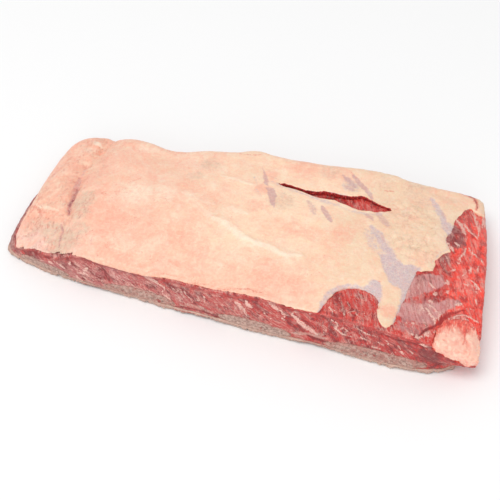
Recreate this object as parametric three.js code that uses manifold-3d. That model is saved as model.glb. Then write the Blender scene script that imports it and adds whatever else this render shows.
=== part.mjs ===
// A four-bone slab of beef spare ribs: a lean body over four sawn rib bones, a fat cap that is slit and
// trimmed back at the right, a knob of fat on the front right corner, and the skin on the bone side.
// Millimetres, +Z up. X runs along the slab, Y from its front sawn face to its back one.
import * as THREE from "three";
import { mergeVertices } from "three/addons/utils/BufferGeometryUtils.js";
import Module from "manifold-3d";

const wasm = await Module();
wasm.setup();

// ---- driving sizes ----
const leftEnd = -159; // where the slab ends on the left
const rightEnd = 152; // where it ends on the right, halfway along that end
const gap = 0.3; // clearance between touching pieces
const skinDepth = 3.2; // thickness of the bone-side skin
const stations = 46; // cross-sections along the slab
const topSteps = 14; // points across the top of one cross-section
const underSteps = 8; // points across the underside
const faceSteps = 6; // points up the sawn front face
const rollSteps = 4; // points round the rolled back edge

const frontRound = 2.2; // the front top edge is nearly sharp
const backRound = 9; // the back top edge rolls over
const leftRoll = { reach: 15, drop: 10, side: 5 }; // how the left end rounds off
const rightRoll = { reach: 4, drop: 2.5, side: 1.4 }; // how the right end rounds off
const backCorner = { depth: 4, x: 126, y: 32, reach: 14 }; // from this place outwards the fat thickens

const boneSlant = 0.05; // sideways run of a rib for each millimetre from front to back
const bones = [
  { name: "rib_1", centre: -121, width: 37, depth: 5.6 },
  { name: "rib_2", centre: -52.7, width: 48, depth: 6.8 },
  { name: "rib_3", centre: 23.8, width: 47, depth: 7 },
  { name: "rib_4", centre: 99.8, width: 61, depth: 8 },
];
const channelDepth = 1.8; // the underside is hollowed this much between the ribs

const cornerLeft = 127; // where the corner fat begins
const swell = { x: 142, y: -62, height: 1.6, reach: 13 }; // and where it stands proud
const undercut = { depth: 9.4, inside: 12.9, outside: 10.6 }; // set-back of the front right foot, its roof

const looks = {
  fat: { color: 0xf3c9a6, roughness: 0.5, metalness: 0 },
  lean: { color: 0xb0383a, roughness: 0.42, metalness: 0 },
  bone: { color: 0xb9a294, roughness: 0.75, metalness: 0 },
  skin: { color: 0xd8b8a2, roughness: 0.6, metalness: 0 },
};

// ---- outline and heights ----
const lerp = THREE.MathUtils.lerp;
const smooth = THREE.MathUtils.smoothstep;

// A smooth curve through a few [place, value] pairs, level beyond the first and the last.
function through(pairs) {
  const last = pairs.length - 1;
  const slope = (i) => {
    const [x0, y0] = pairs[Math.max(i - 1, 0)];
    const [x1, y1] = pairs[Math.min(i + 1, last)];
    return (y1 - y0) / (x1 - x0);
  };
  return (x) => {
    if (x <= pairs[0][0]) return pairs[0][1];
    if (x >= pairs[last][0]) return pairs[last][1];
    const i = pairs.findIndex(([place]) => place > x) - 1;
    const span = pairs[i + 1][0] - pairs[i][0];
    const t = (x - pairs[i][0]) / span;
    const rise = t * t * (3 - 2 * t);
    const start = t * (1 - t) * (1 - t) * span * slope(i);
    const end = t * t * (t - 1) * span * slope(i + 1);
    return lerp(pairs[i][1], pairs[i + 1][1], rise) + start + end;
  };
}

// The plan outline: y of the front and back edges along x, and x of the two ends along y.
const frontEdge = through([
  [-159, -52.8],
  [-146, -57.6],
  [-114, -64.6],
  [-60, -67.4],
  [0, -71.4],
  [20, -72.6],
  [60, -72.7],
  [105, -75],
  [135, -73.8],
  [147, -72.2],
  [156, -69.5],
]);
const backEdge = through([
  [-159, 53],
  [-142, 61],
  [-122, 64],
  [-98, 61.5],
  [-74, 59],
  [-50, 64],
  [-30, 66],
  [-15, 72.5],
  [3, 69],
  [30, 69.5],
  [60, 73.5],
  [84, 74],
  [103, 70],
  [140, 69.5],
]);
const leftEdge = through([
  [-60, -157],
  [-35, -158.2],
  [-5, -157.2],
  [25, -158.3],
  [52, -157.3],
]);
const rightEdge = through([
  [-76, 154.6],
  [-60, 154.4],
  [-40, 152.4],
  [5, 149],
  [40, 144.8],
  [68, 140.4],
]);

// Heights of the top along x: at the front edge, over the middle and towards the back.
const frontHeight = through([
  [-159, 8],
  [-143, 11],
  [-133, 16],
  [-114, 20],
  [-88, 26.5],
  [-10, 26.8],
  [22, 31.5],
  [48, 28.6],
  [75, 31],
  [120, 30],
  [140, 24],
  [156, 17],
]);
const middleHeight = through([
  [-159, 18],
  [-138, 22.5],
  [-108, 28.5],
  [-60, 31],
  [10, 32.5],
  [90, 31.5],
  [135, 29],
  [156, 25],
]);
const backHeight = through([
  [-159, 17],
  [-136, 20],
  [-100, 25.5],
  [-76, 24],
  [-30, 27.5],
  [60, 28],
  [125, 26],
  [156, 21],
]);

// The crease across the fat at the left end, from the back edge to the front one.
const creaseX = through([
  [-56, -116],
  [-22, -123],
  [8, -129],
  [35, -127],
  [60, -121],
]);
const crease = { depth: 2.4, width: 6 };

function topHeight(x, y) {
  const v = (y - frontEdge(x)) / (backEdge(x) - frontEdge(x));
  const front = frontHeight(x);
  const middle = middleHeight(x);
  const back = backHeight(x);
  const height =
    v < 0.45
      ? lerp(front, middle, Math.sin((Math.PI / 2) * Math.max(v / 0.45, 0)))
      : lerp(middle, back, smooth(v, 0.45, 1));
  const off = (x - creaseX(y)) / crease.width;
  const ripple = 0.5 * Math.sin(x / 11 + y / 19) * Math.sin(y / 13 - x / 37);
  const fromCorner = Math.hypot(x - swell.x, y - swell.y) / swell.reach;
  const bulge = swell.height * Math.exp(-fromCorner * fromCorner);
  return height - crease.depth * Math.exp(-off * off) + ripple + bulge;
}

// The underside is flat below each rib and hollowed between them.
function undersideHeight(x, y) {
  const clear = Math.min(
    ...bones.map(({ centre, width }) => Math.abs(x - centre - boneSlant * y) - 0.36 * width),
  );
  const fromEnds = smooth(x, -140, -120) * (1 - smooth(x, 118, 132));
  return channelDepth * smooth(clear, 0, 9) * fromEnds;
}

// Thickness of the fat: thin where it was trimmed and at the front edge, but for one place on that edge,
// and turned down over the left end and the back edge.
const trimmedDepth = through([
  [-156, 4.2],
  [-60, 4.4],
  [40, 3.6],
  [95, 2],
  [156, 1.5],
]);
const frontDepth = through([
  [-156, 1.3],
  [-92, 1],
  [-80, 3.8],
  [-52, 3.8],
  [-40, 1.2],
  [156, 1],
]);
function fatDepth(x, y) {
  const overLeft = 7 * (1 - smooth(x, leftEnd, -143)) * smooth(y, -24, 10);
  const overBack = 7 * smooth(y, backEdge(x) - 9, backEdge(x));
  const fromFront = smooth(y, frontEdge(x) + frontRound, frontEdge(x) + 16);
  const along = smooth(x, backCorner.x, backCorner.x + backCorner.reach);
  const across = smooth(y, backCorner.y, backCorner.y + backCorner.reach);
  const over = Math.max(overLeft, overBack, backCorner.depth * along * across);
  return lerp(frontDepth(x), trimmedDepth(x), fromFront) + over;
}
const leanHeight = (x, y) => topHeight(x, y) - fatDepth(x, y);

// ---- meshes and solids ----
function geometryOf(points, faces) {
  const geometry = new THREE.BufferGeometry();
  geometry.setAttribute("position", new THREE.Float32BufferAttribute(points.flat(), 3));
  geometry.setIndex(faces.flat());
  return geometry;
}

function solidOf(geometry) {
  const bare = geometry.clone();
  bare.deleteAttribute("normal");
  bare.deleteAttribute("uv");
  const merged = mergeVertices(bare, 1e-3);
  return new wasm.Manifold(
    new wasm.Mesh({
      numProp: 3,
      vertProperties: merged.attributes.position.array,
      triVerts: new Uint32Array(merged.index.array),
    }),
  );
}

function meshOf(name, solid, look) {
  const { numProp, vertProperties, triVerts } = solid.getMesh();
  const geometry = new THREE.BufferGeometry();
  const buffer = new THREE.InterleavedBuffer(vertProperties, numProp);
  geometry.setAttribute("position", new THREE.InterleavedBufferAttribute(buffer, 3, 0));
  geometry.setIndex(new THREE.BufferAttribute(triVerts, 1));
  const mesh = new THREE.Mesh(geometry.toNonIndexed(), new THREE.MeshStandardMaterial(looks[look]));
  mesh.geometry.computeVertexNormals();
  mesh.name = name;
  return mesh;
}

// Triangles over one loop, as a ladder between its points up to `split` and the rest, along `axis`.
function lid(loop, split, axis) {
  const faces = [];
  let [i, k] = [split, split + 1];
  while (i > 0 || k < loop.length - 1) {
    const stepLower = k === loop.length - 1 || (i > 0 && loop[i - 1][axis] < loop[k + 1][axis]);
    faces.push(stepLower ? [i, i - 1, k] : [i, k + 1, k]);
    if (stepLower) i--;
    else k++;
  }
  return faces;
}

// A closed body through loops of equally many points, with a lid over each end.
function loft(loops, split, axis) {
  const points = loops.flat();
  const n = loops[0].length;
  const last = points.length - n;
  const faces = [];
  for (let i = 0; i < loops.length - 1; i++)
    for (let j = 0; j < n; j++) {
      const a = i * n + j;
      const b = i * n + ((j + 1) % n);
      faces.push([a, b + n, b], [a, a + n, b + n]);
    }
  for (const [a, b, c] of lid(loops[0], split, axis)) faces.push([c, b, a]);
  for (const [a, b, c] of lid(loops.at(-1), split, axis)) faces.push([last + a, last + b, last + c]);
  return geometryOf(points, faces);
}

// A block from well below the slab up to the surface height(x, y). Its rows follow the slab's edges.
function blockUnder(height, columns, rows) {
  const low = -5;
  const grid = [];
  for (let j = 0; j <= rows; j++)
    for (let i = 0; i <= columns; i++) {
      const x = lerp(-175, 175, (i / columns) ** 1.15);
      const y = lerp(backEdge(x) + 12, frontEdge(x) - 12, (j / rows) ** 1.3);
      grid.push([x, y]);
    }
  const sheet = (z, flip) => {
    const points = grid.map(([x, y]) => [x, y, z(x, y)]);
    const faces = [];
    for (let j = 0; j < rows; j++)
      for (let i = 0; i < columns; i++) {
        const a = j * (columns + 1) + i;
        const [b, c, d] = [a + 1, a + columns + 1, a + columns + 2];
        faces.push(flip ? [a, b, c] : [a, c, b], flip ? [b, d, c] : [b, c, d]);
      }
    return [points, faces];
  };
  const [top, topFaces] = sheet(height, false);
  const [foot, footFaces] = sheet(() => low, true);
  const faces = [...topFaces, ...footFaces.map((face) => face.map((i) => i + top.length))];
  const rim = [];
  for (let j = 0; j < rows; j++) rim.push(j * (columns + 1));
  for (let i = 0; i < columns; i++) rim.push(rows * (columns + 1) + i);
  for (let j = rows; j > 0; j--) rim.push(j * (columns + 1) + columns);
  for (let i = columns; i > 0; i--) rim.push(i);
  rim.forEach((a, k) => {
    const b = rim[(k + 1) % rim.length];
    faces.push([a, a + top.length, b + top.length], [a, b + top.length, b]);
  });
  return solidOf(geometryOf([...top, ...foot], faces));
}

// A straight-walled cutter of a plan outline, tall enough to pass right through the slab.
function cutter(shape, curveSegments) {
  const block = new THREE.ExtrudeGeometry(shape, { depth: 60, bevelEnabled: false, curveSegments });
  block.translate(0, 0, -10);
  return solidOf(block);
}

// ---- the whole slab, before it is divided ----
// One cross-section: along the underside, up the front face, over the top and round the back edge.
function section(s, roll) {
  const across = lerp(leftEnd, rightEnd, s);
  const y0 = frontEdge(across) + roll.side;
  const y1 = backEdge(across) - roll.side;
  const high = (y) => Math.max(topHeight(across, y) - roll.drop, 3);
  const low = (y) => undersideHeight(across, y);
  const outline = [];
  for (let i = 0; i <= underSteps; i++) {
    const y = lerp(y1 - 3, y0 + 1.2, i / underSteps);
    outline.push([y, low(y)]);
  }
  const frontTop = high(y0) - frontRound;
  for (let i = 1; i <= faceSteps; i++) {
    const z = lerp(0.9, frontTop, (i - 1) / (faceSteps - 1));
    outline.push([y0 + 0.7 * Math.sin(z / 5 + across / 23), z]);
  }
  const rollBack = Math.min(backRound * (1 - 0.6 * smooth(s, 0.9, 1)), 0.55 * high(y1));
  for (let i = 0; i <= topSteps; i++) {
    const y = lerp(y0 + frontRound * 0.8, y1 - rollBack, i / topSteps);
    outline.push([y, high(y)]);
  }
  for (let i = 1; i <= rollSteps; i++) {
    const turn = (i / rollSteps) * (Math.PI / 2);
    const y = y1 - rollBack + rollBack * Math.sin(turn);
    outline.push([y, high(y1 - rollBack) - rollBack * (1 - Math.cos(turn))]);
  }
  outline.push([y1 - 0.6, 2.2]);
  return outline.map(([y, z]) => [lerp(leftEdge(y), rightEdge(y), s), y, z]);
}

// What is cut away below the front right corner, so that its foot is set back and rounded.
function footRoom() {
  const inner = rightEdge(-60) - undercut.depth;
  const outline = new THREE.Shape();
  outline.moveTo(108, -95);
  outline.lineTo(108, -75.2);
  outline.bezierCurveTo(128, -75.4, inner - 4, -70, inner, -60);
  outline.bezierCurveTo(inner, -46, rightEnd - 2, -36, rightEnd, -20);
  outline.lineTo(175, -20);
  outline.lineTo(175, -95);
  const roof = (x) => {
    const outwards = (x - inner) / undercut.depth;
    return lerp(undercut.inside, undercut.outside, THREE.MathUtils.clamp(outwards, 0, 2));
  };
  return cutter(outline, 5).intersect(blockUnder(roof, 30, 2));
}

function wholeSlab() {
  const length = rightEnd - leftEnd;
  const loops = [];
  for (let i = 0; i <= stations; i++) {
    const along = length * (0.5 - 0.5 * Math.cos(Math.PI * lerp(0.04, 0.97, i / stations)));
    const s = (i / stations) * 0.55 + (along / length) * 0.45;
    const fromLeft = s * length;
    const fromRight = (1 - s) * length;
    const bend = (distance, { reach }) =>
      distance < reach ? 1 - Math.sqrt(1 - (1 - distance / reach) ** 2) : 0;
    const left = bend(fromLeft, leftRoll);
    const right = bend(fromRight, rightRoll);
    const drop = left * leftRoll.drop + right * rightRoll.drop;
    const side = left * leftRoll.side + right * rightRoll.side;
    loops.push(section(s, { drop, side }));
  }
  return solidOf(loft(loops, underSteps, 1)).subtract(footRoom());
}

// ---- the pieces ----
// A rib: nearly flat below, arched above and thin at both edges, run past both sawn faces.
function rib({ centre, width, depth }, grow) {
  const sides = 20;
  const middle = skinDepth + gap + 0.28 * depth;
  const loops = [-90, 90].map((y) => {
    const loop = [];
    for (let i = 0; i < sides; i++) {
      const turn = (i / sides) * 2 * Math.PI;
      const x = (width / 2 + grow) * Math.sign(Math.cos(turn)) * Math.abs(Math.cos(turn)) ** 0.85;
      const z = Math.sin(turn) * (depth * (Math.sin(turn) > 0 ? 0.72 : 0.28) + grow);
      loop.push([centre + boneSlant * y + x, y, middle + z]);
    }
    return loop;
  });
  return solidOf(loft(loops, sides / 2, 0));
}

// The corner fat fills this column of the slab, above a floor that falls towards the corner.
const cornerFloor = through([
  [cornerLeft, 28],
  [132, 23],
  [136, 19.5],
  [144, 14.9],
  [150, 12.9],
]);
function cornerColumn(grow) {
  const outline = new THREE.Shape();
  outline.moveTo(cornerLeft - grow, -95);
  outline.lineTo(cornerLeft + 1 - grow, -62 + grow);
  outline.bezierCurveTo(134 - grow, -50 + grow, 138, -50 + grow, 141, -49 + grow);
  outline.bezierCurveTo(147 + grow, -48 + grow, 149 + grow, -58 + grow, 165, -57 + grow);
  outline.lineTo(165, -95);
  return cutter(outline, 5).subtract(blockUnder((x) => cornerFloor(x) - grow, 30, 4));
}

// Plan outline of the fat: open over the left, ragged along the trimmed right border.
function fatOutline() {
  const outline = new THREE.Shape();
  outline.moveTo(-175, -90);
  outline.lineTo(62, -90);
  outline.lineTo(61, -66);
  outline.bezierCurveTo(62, -50, 70, -45, 78, -45); // round the bare patch at the front
  outline.bezierCurveTo(86, -45, 92, -50, 92, -55);
  outline.lineTo(93.5, -66);
  outline.bezierCurveTo(94, -75, 104, -75, 103.5, -66); // the tongue's round end
  outline.lineTo(106, -44);
  outline.bezierCurveTo(107, -24, 108, -18, 118, -17);
  for (const [x, y] of trimmedBorder) outline.lineTo(x, y);
  outline.lineTo(165, 50);
  outline.lineTo(165, 95);
  outline.lineTo(-175, 95);
  return outline;
}
const trimmedBorder = [
  [118, -6.5],
  [120.4, -3],
  [122.5, 2],
  [125.5, 4.5],
  [123.5, 10],
  [121.3, 15.5],
  [121.6, 19],
  [123.6, 23],
  [123.7, 34],
  [124.5, 38],
  [129.7, 51.5],
  [131.8, 54.6],
  [134.5, 52.5],
  [138, 51.5],
  [140.5, 53.5],
];

// The slit: nearly closed at the left, gaping by about twelve millimetres at its widest.
const upperLip = [
  [7, 36.2],
  [20.5, 34.1],
  [28, 33.2],
  [33, 34.2],
  [37, 35.8],
  [46, 35.4],
  [54, 35],
  [58.5, 36.6],
  [62, 38.6],
  [67, 36.6],
  [72, 34.4],
  [77, 32.7],
  [84, 31.4],
];
const lowerLip = [
  [77.5, 27],
  [69, 25],
  [60.5, 24],
  [55, 25.8],
  [49.5, 26.8],
  [45.4, 28.8],
  [39.3, 28.8],
  [33, 28.8],
  [27.7, 30.1],
  [20.5, 31.9],
  [7, 34],
];
function slitOutline() {
  const slit = new THREE.Shape();
  const [first, ...rest] = upperLip.map(([x, y]) => new THREE.Vector2(x, y));
  slit.moveTo(first.x, first.y);
  slit.splineThru(rest);
  slit.splineThru(lowerLip.map(([x, y]) => new THREE.Vector2(x, y)));
  return slit;
}

const whole = wholeSlab();
const ribs = bones.map((bone) => ({ ...bone, solid: rib(bone, 0), room: rib(bone, gap) }));
const skinBlock = blockUnder(() => skinDepth, 4, 2);
const skinRoom = blockUnder(() => skinDepth + gap, 4, 2);
const leanBlock = blockUnder(leanHeight, 36, 14);
const fatRoom = blockUnder((x, y) => leanHeight(x, y) + gap, 36, 14);

const boneRooms = [skinRoom, ...ribs.map(({ room }) => room)];
const clearOfBone = (solid) => boneRooms.reduce((rest, room) => rest.subtract(room), solid);

const lean = clearOfBone(whole.intersect(leanBlock).subtract(cornerColumn(gap)));
const trimmed = whole.subtract(fatRoom).intersect(cutter(fatOutline(), 5));
const cap = clearOfBone(trimmed.subtract(cutter(slitOutline(), 2)));
const cornerFat = clearOfBone(whole.intersect(cornerColumn(0)));

const slab = new THREE.Group();
slab.add(meshOf("lean_meat", lean, "lean"));
slab.add(meshOf("fat_cap", cap, "fat"));
slab.add(meshOf("corner_fat", cornerFat, "fat"));
slab.add(meshOf("bone_side_skin", whole.intersect(skinBlock), "skin"));
for (const { name, solid } of ribs) slab.add(meshOf(name, solid.intersect(whole), "bone"));

// The origin is the middle of the slab's footprint, on the surface it lies on.
const extent = new THREE.Box3().setFromObject(slab);
const centre = extent.getCenter(new THREE.Vector3());
slab.position.set(-centre.x, -centre.y, -extent.min.z);

export default slab;
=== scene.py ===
import math

import bmesh
import bpy
import numpy as np
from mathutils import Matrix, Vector, kdtree
from mathutils.bvhtree import BVHTree


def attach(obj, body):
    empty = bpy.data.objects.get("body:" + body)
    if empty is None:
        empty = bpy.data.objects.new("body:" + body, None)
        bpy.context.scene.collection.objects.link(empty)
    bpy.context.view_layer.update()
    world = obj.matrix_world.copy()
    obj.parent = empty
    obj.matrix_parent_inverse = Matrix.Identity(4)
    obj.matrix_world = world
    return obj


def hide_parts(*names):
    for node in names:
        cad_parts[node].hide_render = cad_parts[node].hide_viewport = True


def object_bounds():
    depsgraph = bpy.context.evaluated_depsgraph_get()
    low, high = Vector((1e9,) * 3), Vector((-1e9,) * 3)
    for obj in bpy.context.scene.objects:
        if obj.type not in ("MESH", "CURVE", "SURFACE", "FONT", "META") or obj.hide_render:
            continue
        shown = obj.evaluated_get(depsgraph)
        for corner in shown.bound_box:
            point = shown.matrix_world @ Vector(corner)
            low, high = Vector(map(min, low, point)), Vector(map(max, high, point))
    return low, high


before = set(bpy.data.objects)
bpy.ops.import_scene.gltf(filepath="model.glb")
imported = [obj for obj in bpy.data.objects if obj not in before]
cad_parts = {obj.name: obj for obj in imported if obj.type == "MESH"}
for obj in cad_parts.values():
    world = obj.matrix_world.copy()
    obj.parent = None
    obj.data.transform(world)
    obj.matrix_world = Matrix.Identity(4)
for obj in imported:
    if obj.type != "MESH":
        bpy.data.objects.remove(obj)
cadLow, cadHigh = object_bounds()
slabLength = 312.04  # millimetres, as the frame holds it
mm = (cadHigh.x - cadLow.x) / slabLength  # one millimetre of the slab, in metres
print("frame loaded:", len(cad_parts), "nodes")

# all lengths below are in millimetres, and angles in degrees
view = {
    "azimuth": 17,  # turned this far to the right of the slab's front
    "elevation": 44,
    "distance": 665.6,
    "aim": (-1.27, -2.31, 0),
    "lens": 72,
    "sensor": 36,
    "clip": (0.05, 20),  # metres
}
studio = {
    "sky": 0.62,
    "floorSize": 8000,
    "floorDrop": 0.1,  # how far the floor lies below the slab
    "floorTone": (0.94, 0.94, 0.94, 1),
    "floorRoughness": 0.9,
    "key": {"place": (-500, -1100, 2800), "size": 2200, "watts": 46},
    "fill": {"place": (500, -2400, 900), "size": 1600, "watts": 10},
}


def makeCamera():
    turn, lift = math.radians(view["azimuth"]), math.radians(view["elevation"])
    back = Vector((math.sin(turn) * math.cos(lift), -math.cos(turn) * math.cos(lift), math.sin(lift)))
    data = bpy.data.cameras.new("slabCamera")
    data.lens = view["lens"]
    data.sensor_width = view["sensor"]
    data.clip_start, data.clip_end = view["clip"]
    camera = bpy.data.objects.new("slabCamera", data)
    camera.location = (Vector(view["aim"]) + back * view["distance"]) * mm
    camera.rotation_euler = (-back).to_track_quat("-Z", "Y").to_euler()
    bpy.context.collection.objects.link(camera)
    bpy.context.scene.camera = camera


def makeAreaLight(name, place, size, watts):
    data = bpy.data.lights.new(name, "AREA")
    data.shape = "DISK"
    data.size = size * mm
    data.energy = watts
    lamp = bpy.data.objects.new(name, data)
    lamp.location = Vector(place) * mm
    lamp.rotation_euler = (-Vector(place)).to_track_quat("-Z", "Y").to_euler()
    bpy.context.collection.objects.link(lamp)


def makeFloor():
    bm = bmesh.new()
    bmesh.ops.create_grid(bm, x_segments=1, y_segments=1, size=studio["floorSize"] / 2 * mm)
    bmesh.ops.translate(bm, vec=(0, 0, -studio["floorDrop"] * mm), verts=bm.verts)
    floor = bpy.data.objects.new("floor", bpy.data.meshes.new("floor"))
    bm.to_mesh(floor.data)
    bm.free()
    bpy.context.collection.objects.link(floor)
    coating = bpy.data.materials.new("paleFloor")
    coating.use_nodes = True
    shader = coating.node_tree.nodes["Principled BSDF"]
    shader.inputs["Base Color"].default_value = studio["floorTone"]
    shader.inputs["Roughness"].default_value = studio["floorRoughness"]
    floor.data.materials.append(coating)


def makeStudio():
    world = bpy.data.worlds.new("studioSky")
    world.use_nodes = True
    sky = world.node_tree.nodes["Background"]
    sky.inputs["Color"].default_value = (1, 1, 1, 1)
    sky.inputs["Strength"].default_value = studio["sky"]
    bpy.context.scene.world = world
    bpy.context.scene.view_settings.view_transform = "Standard"
    for name in ("key", "fill"):
        makeAreaLight(name + "Light", **studio[name])
    makeFloor()


makeCamera()
makeStudio()
print("camera and studio made")


# reading, moving and marking the vertices of a piece
def vectorsOf(piece, kind):
    flat = np.empty(len(piece.data.vertices) * 3)
    piece.data.vertices.foreach_get(kind, flat)
    return flat.reshape(-1, 3)


def surfaceOf(piece):  # the place and the normal of each vertex
    return vectorsOf(piece, "co") / mm, vectorsOf(piece, "normal")


def movePoints(piece, points):
    piece.data.vertices.foreach_set("co", (points * mm).ravel())
    piece.data.update()


def paint(piece, **marks):  # keeps values from 0 to 1 on the vertices, for the materials
    for name, values in marks.items():
        layer = piece.data.attributes.new(name, "FLOAT", "POINT")
        layer.data.foreach_set("value", np.clip(values, 0, 1).astype(np.float32))


def smooth(value, start, end):
    part = np.clip((value - start) / (end - start), 0, 1)
    return part * part * (3 - 2 * part)


def fall(value, start, end):
    return 1 - smooth(value, start, end)


def facing(normals, x, y, z):  # 1 where a piece faces that way
    return smooth(normals @ np.array([x, y, z]), 0.35, 0.7)


def lumps(where, size, seed):  # a smooth random field from -1 to 1 with lumps of that size
    grid = where / size + 1000
    corner = np.floor(grid).astype(np.int64)
    part = grid - corner
    blend = part * part * (3 - 2 * part)
    total = np.zeros(len(where))
    for step in np.ndindex(2, 2, 2):
        cell = corner + step
        mixed = cell[:, 0] * 73856093 ^ cell[:, 1] * 19349663 ^ cell[:, 2] * 83492791 ^ seed * 961748927
        mixed = (mixed ^ mixed >> 13) * 1274126177 & 0x7FFFFFFF
        value = ((mixed ^ mixed >> 15) & 0xFFFF) / 32767.5 - 1
        total += value * np.prod(np.where(step, blend, 1 - blend), axis=1)
    return total


def roughness(where, size, seed, octaves=3):
    return sum(lumps(where, size / 2**k, seed + k) / 2**k for k in range(octaves)) / 1.6


def sway(where, size, *seeds):  # a random shift, with one direction for each seed
    return np.stack([roughness(where, size, seed) for seed in seeds], axis=1)


def swells(where, relief):  # relief: size, height and seed of each layer of lumps
    return sum(height * lumps(where, size, seed) for size, height, seed in relief)


def stroke(flat, line, width, taper=0.5):  # 1 along a line, 0 a width away, thinning to its ends
    line = np.array(line, float)
    found = np.zeros(len(flat))
    near = np.all((flat > line.min(0) - width) & (flat < line.max(0) + width), axis=1)
    if not near.any():
        return found
    spot = flat[near]
    spans = np.linalg.norm(np.diff(line, axis=0), axis=1)
    starts = np.concatenate([[0], np.cumsum(spans)])
    best = np.zeros(len(spot))
    for (a, b), span, start in zip(zip(line, line[1:]), spans, starts):
        along = np.clip((spot - a) @ (b - a) / span**2, 0, 1)
        away = np.linalg.norm(spot - a - along[:, None] * (b - a), axis=1)
        done = (start + along * span) / starts[-1]
        room = width * (1 - taper * np.abs(2 * done - 1) ** 2)
        best = np.maximum(best, 1 - away / room)
    found[near] = best
    return smooth(found, 0, 0.8)


def patch(flat, outline, soft):  # 1 inside an outline, with an edge this soft
    outline = np.array(outline, float)
    inside = np.zeros(len(flat), bool)
    away = np.full(len(flat), 1e9)
    for a, b in zip(outline, np.roll(outline, -1, axis=0)):
        crosses = (a[1] > flat[:, 1]) != (b[1] > flat[:, 1])
        slope = (b[0] - a[0]) / (b[1] - a[1] + 1e-9)
        inside ^= crosses & (flat[:, 0] < a[0] + slope * (flat[:, 1] - a[1]))
        along = np.clip((flat - a) @ (b - a) / ((b - a) @ (b - a)), 0, 1)
        away = np.minimum(away, np.linalg.norm(flat - a - along[:, None] * (b - a), axis=1))
    return smooth(np.where(inside, away, -away), -soft, soft)


def blot(flat, centre, radius):
    return fall(np.linalg.norm(flat - np.array(centre), axis=1), 0.3 * radius, radius)


def strongest(flat, fields):  # the highest of several fields, each given with its strength
    found = np.zeros(len(flat))
    for strength, field in fields:
        found = np.maximum(found, strength * field)
    return found


def drawn(flat, marks):  # strokes: path, width, strength
    return strongest(flat, ((strength, stroke(flat, line, width)) for line, width, strength in marks))


def filled(flat, marks, soft):  # outlines: outline, strength
    return strongest(flat, ((strength, patch(flat, outline, soft)) for outline, strength in marks))


def dabbed(flat, marks):  # round spots: centre, radius, strength
    return strongest(flat, ((strength, blot(flat, centre, radius)) for centre, radius, strength in marks))


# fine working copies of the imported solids
def copyOf(node, name):
    piece = bpy.data.objects.new(name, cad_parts[node].data.copy())
    bpy.context.collection.objects.link(piece)
    bm = bmesh.new()
    bm.from_mesh(piece.data)
    bmesh.ops.remove_doubles(bm, verts=bm.verts, dist=0.01 * mm)
    bm.to_mesh(piece.data)
    bm.free()
    piece.data.materials.clear()
    return piece


def applyModifiers(piece):
    graph = bpy.context.evaluated_depsgraph_get()
    piece.data = bpy.data.meshes.new_from_object(piece.evaluated_get(graph))
    piece.modifiers.clear()


def remesh(piece, voxel):
    modifier = piece.modifiers.new("fineSkin", "REMESH")
    modifier.mode = "VOXEL"
    modifier.voxel_size = voxel * mm
    modifier.use_smooth_shade = True
    applyModifiers(piece)


def sharpEdges(piece, spacing=1.0, bend=0.6):  # points along the solid's sharp edges, to keep them crisp
    bm = bmesh.new()
    bm.from_mesh(piece.data)
    points = []
    for edge in bm.edges:
        if edge.calc_face_angle(0) < bend:
            continue
        a, b = edge.verts[0].co, edge.verts[1].co
        steps = int((b - a).length / (spacing * mm)) + 1
        points += [a.lerp(b, k / steps) for k in range(steps + 1)]
    bm.free()
    tree = kdtree.KDTree(len(points))
    for index, point in enumerate(points):
        tree.insert(point, index)
    tree.balance()
    return tree


def edgeGap(piece, edges):  # how far each vertex lies from the sharp edges
    return np.array([edges.find(vertex.co)[2] for vertex in piece.data.vertices]) / mm


def edgeEnds(piece):
    ends = np.empty(len(piece.data.edges) * 2, np.int32)
    piece.data.edges.foreach_get("vertices", ends)
    return ends[0::2], ends[1::2]


def neighbourSum(ends, values):
    first, second = ends
    size = len(values)
    return np.bincount(first, values[second], size) + np.bincount(second, values[first], size)


def relax(piece, rounds, weight):
    ends, points = edgeEnds(piece), surfaceOf(piece)[0]
    count = neighbourSum(ends, np.ones(len(points)))[:, None]
    for _ in range(rounds):
        total = np.stack([neighbourSum(ends, column) for column in points.T], axis=1)
        points += 0.5 * weight[:, None] * (total / count - points)
    movePoints(piece, points)


def spread(piece, values, rounds):  # blurs a value over the mesh
    ends = edgeEnds(piece)
    count = neighbourSum(ends, np.ones(len(values))) + 1
    for _ in range(rounds):
        values = (neighbourSum(ends, values) + values) / count
    return values


def solidTrees(names):
    trees = []
    for name in names:
        bm = bmesh.new()
        bm.from_mesh(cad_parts[name].data)
        trees.append(BVHTree.FromBMesh(bm))
        bm.free()
    return trees


def thinHidden(piece, others, keep, against, sink):  # sinks and thins the faces against other pieces
    trees = solidTrees(others)
    points, normals = surfaceOf(piece)
    covered = np.zeros(len(normals))
    for index, vertex in enumerate(piece.data.vertices):
        for tree in trees:
            spot, other, _, _ = tree.find_nearest(vertex.co, against * mm)
            if spot is not None and other @ Vector(normals[index]) < -0.5:
                covered[index] = 1
                break
    movePoints(piece, points + normals * (sink * spread(piece, covered, 2))[:, None])
    covered = spread(piece, covered, 8)
    hidden = np.flatnonzero(covered > 0.97)
    group = piece.vertex_groups.new(name="hidden")
    group.add(hidden.tolist(), 1.0, "REPLACE")
    share = len(hidden) / len(normals)
    modifier = piece.modifiers.new("thinHidden", "DECIMATE")
    modifier.ratio = (1 - share) + share * keep
    modifier.vertex_group = "hidden"
    modifier.vertex_group_factor = 10
    applyModifiers(piece)
    piece.vertex_groups.clear()


def softenFacets(piece, edges, rounds, reach, hold):  # rounds off the facets without shrinking the piece
    before = surfaceOf(piece)[0]
    relax(piece, rounds, np.maximum(smooth(edgeGap(piece, edges), 0.5, reach), hold))
    points, normals = surfaceOf(piece)
    lost = spread(piece, np.sum((before - points) * normals, axis=1), rounds)
    movePoints(piece, points + normals * lost[:, None])


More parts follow.
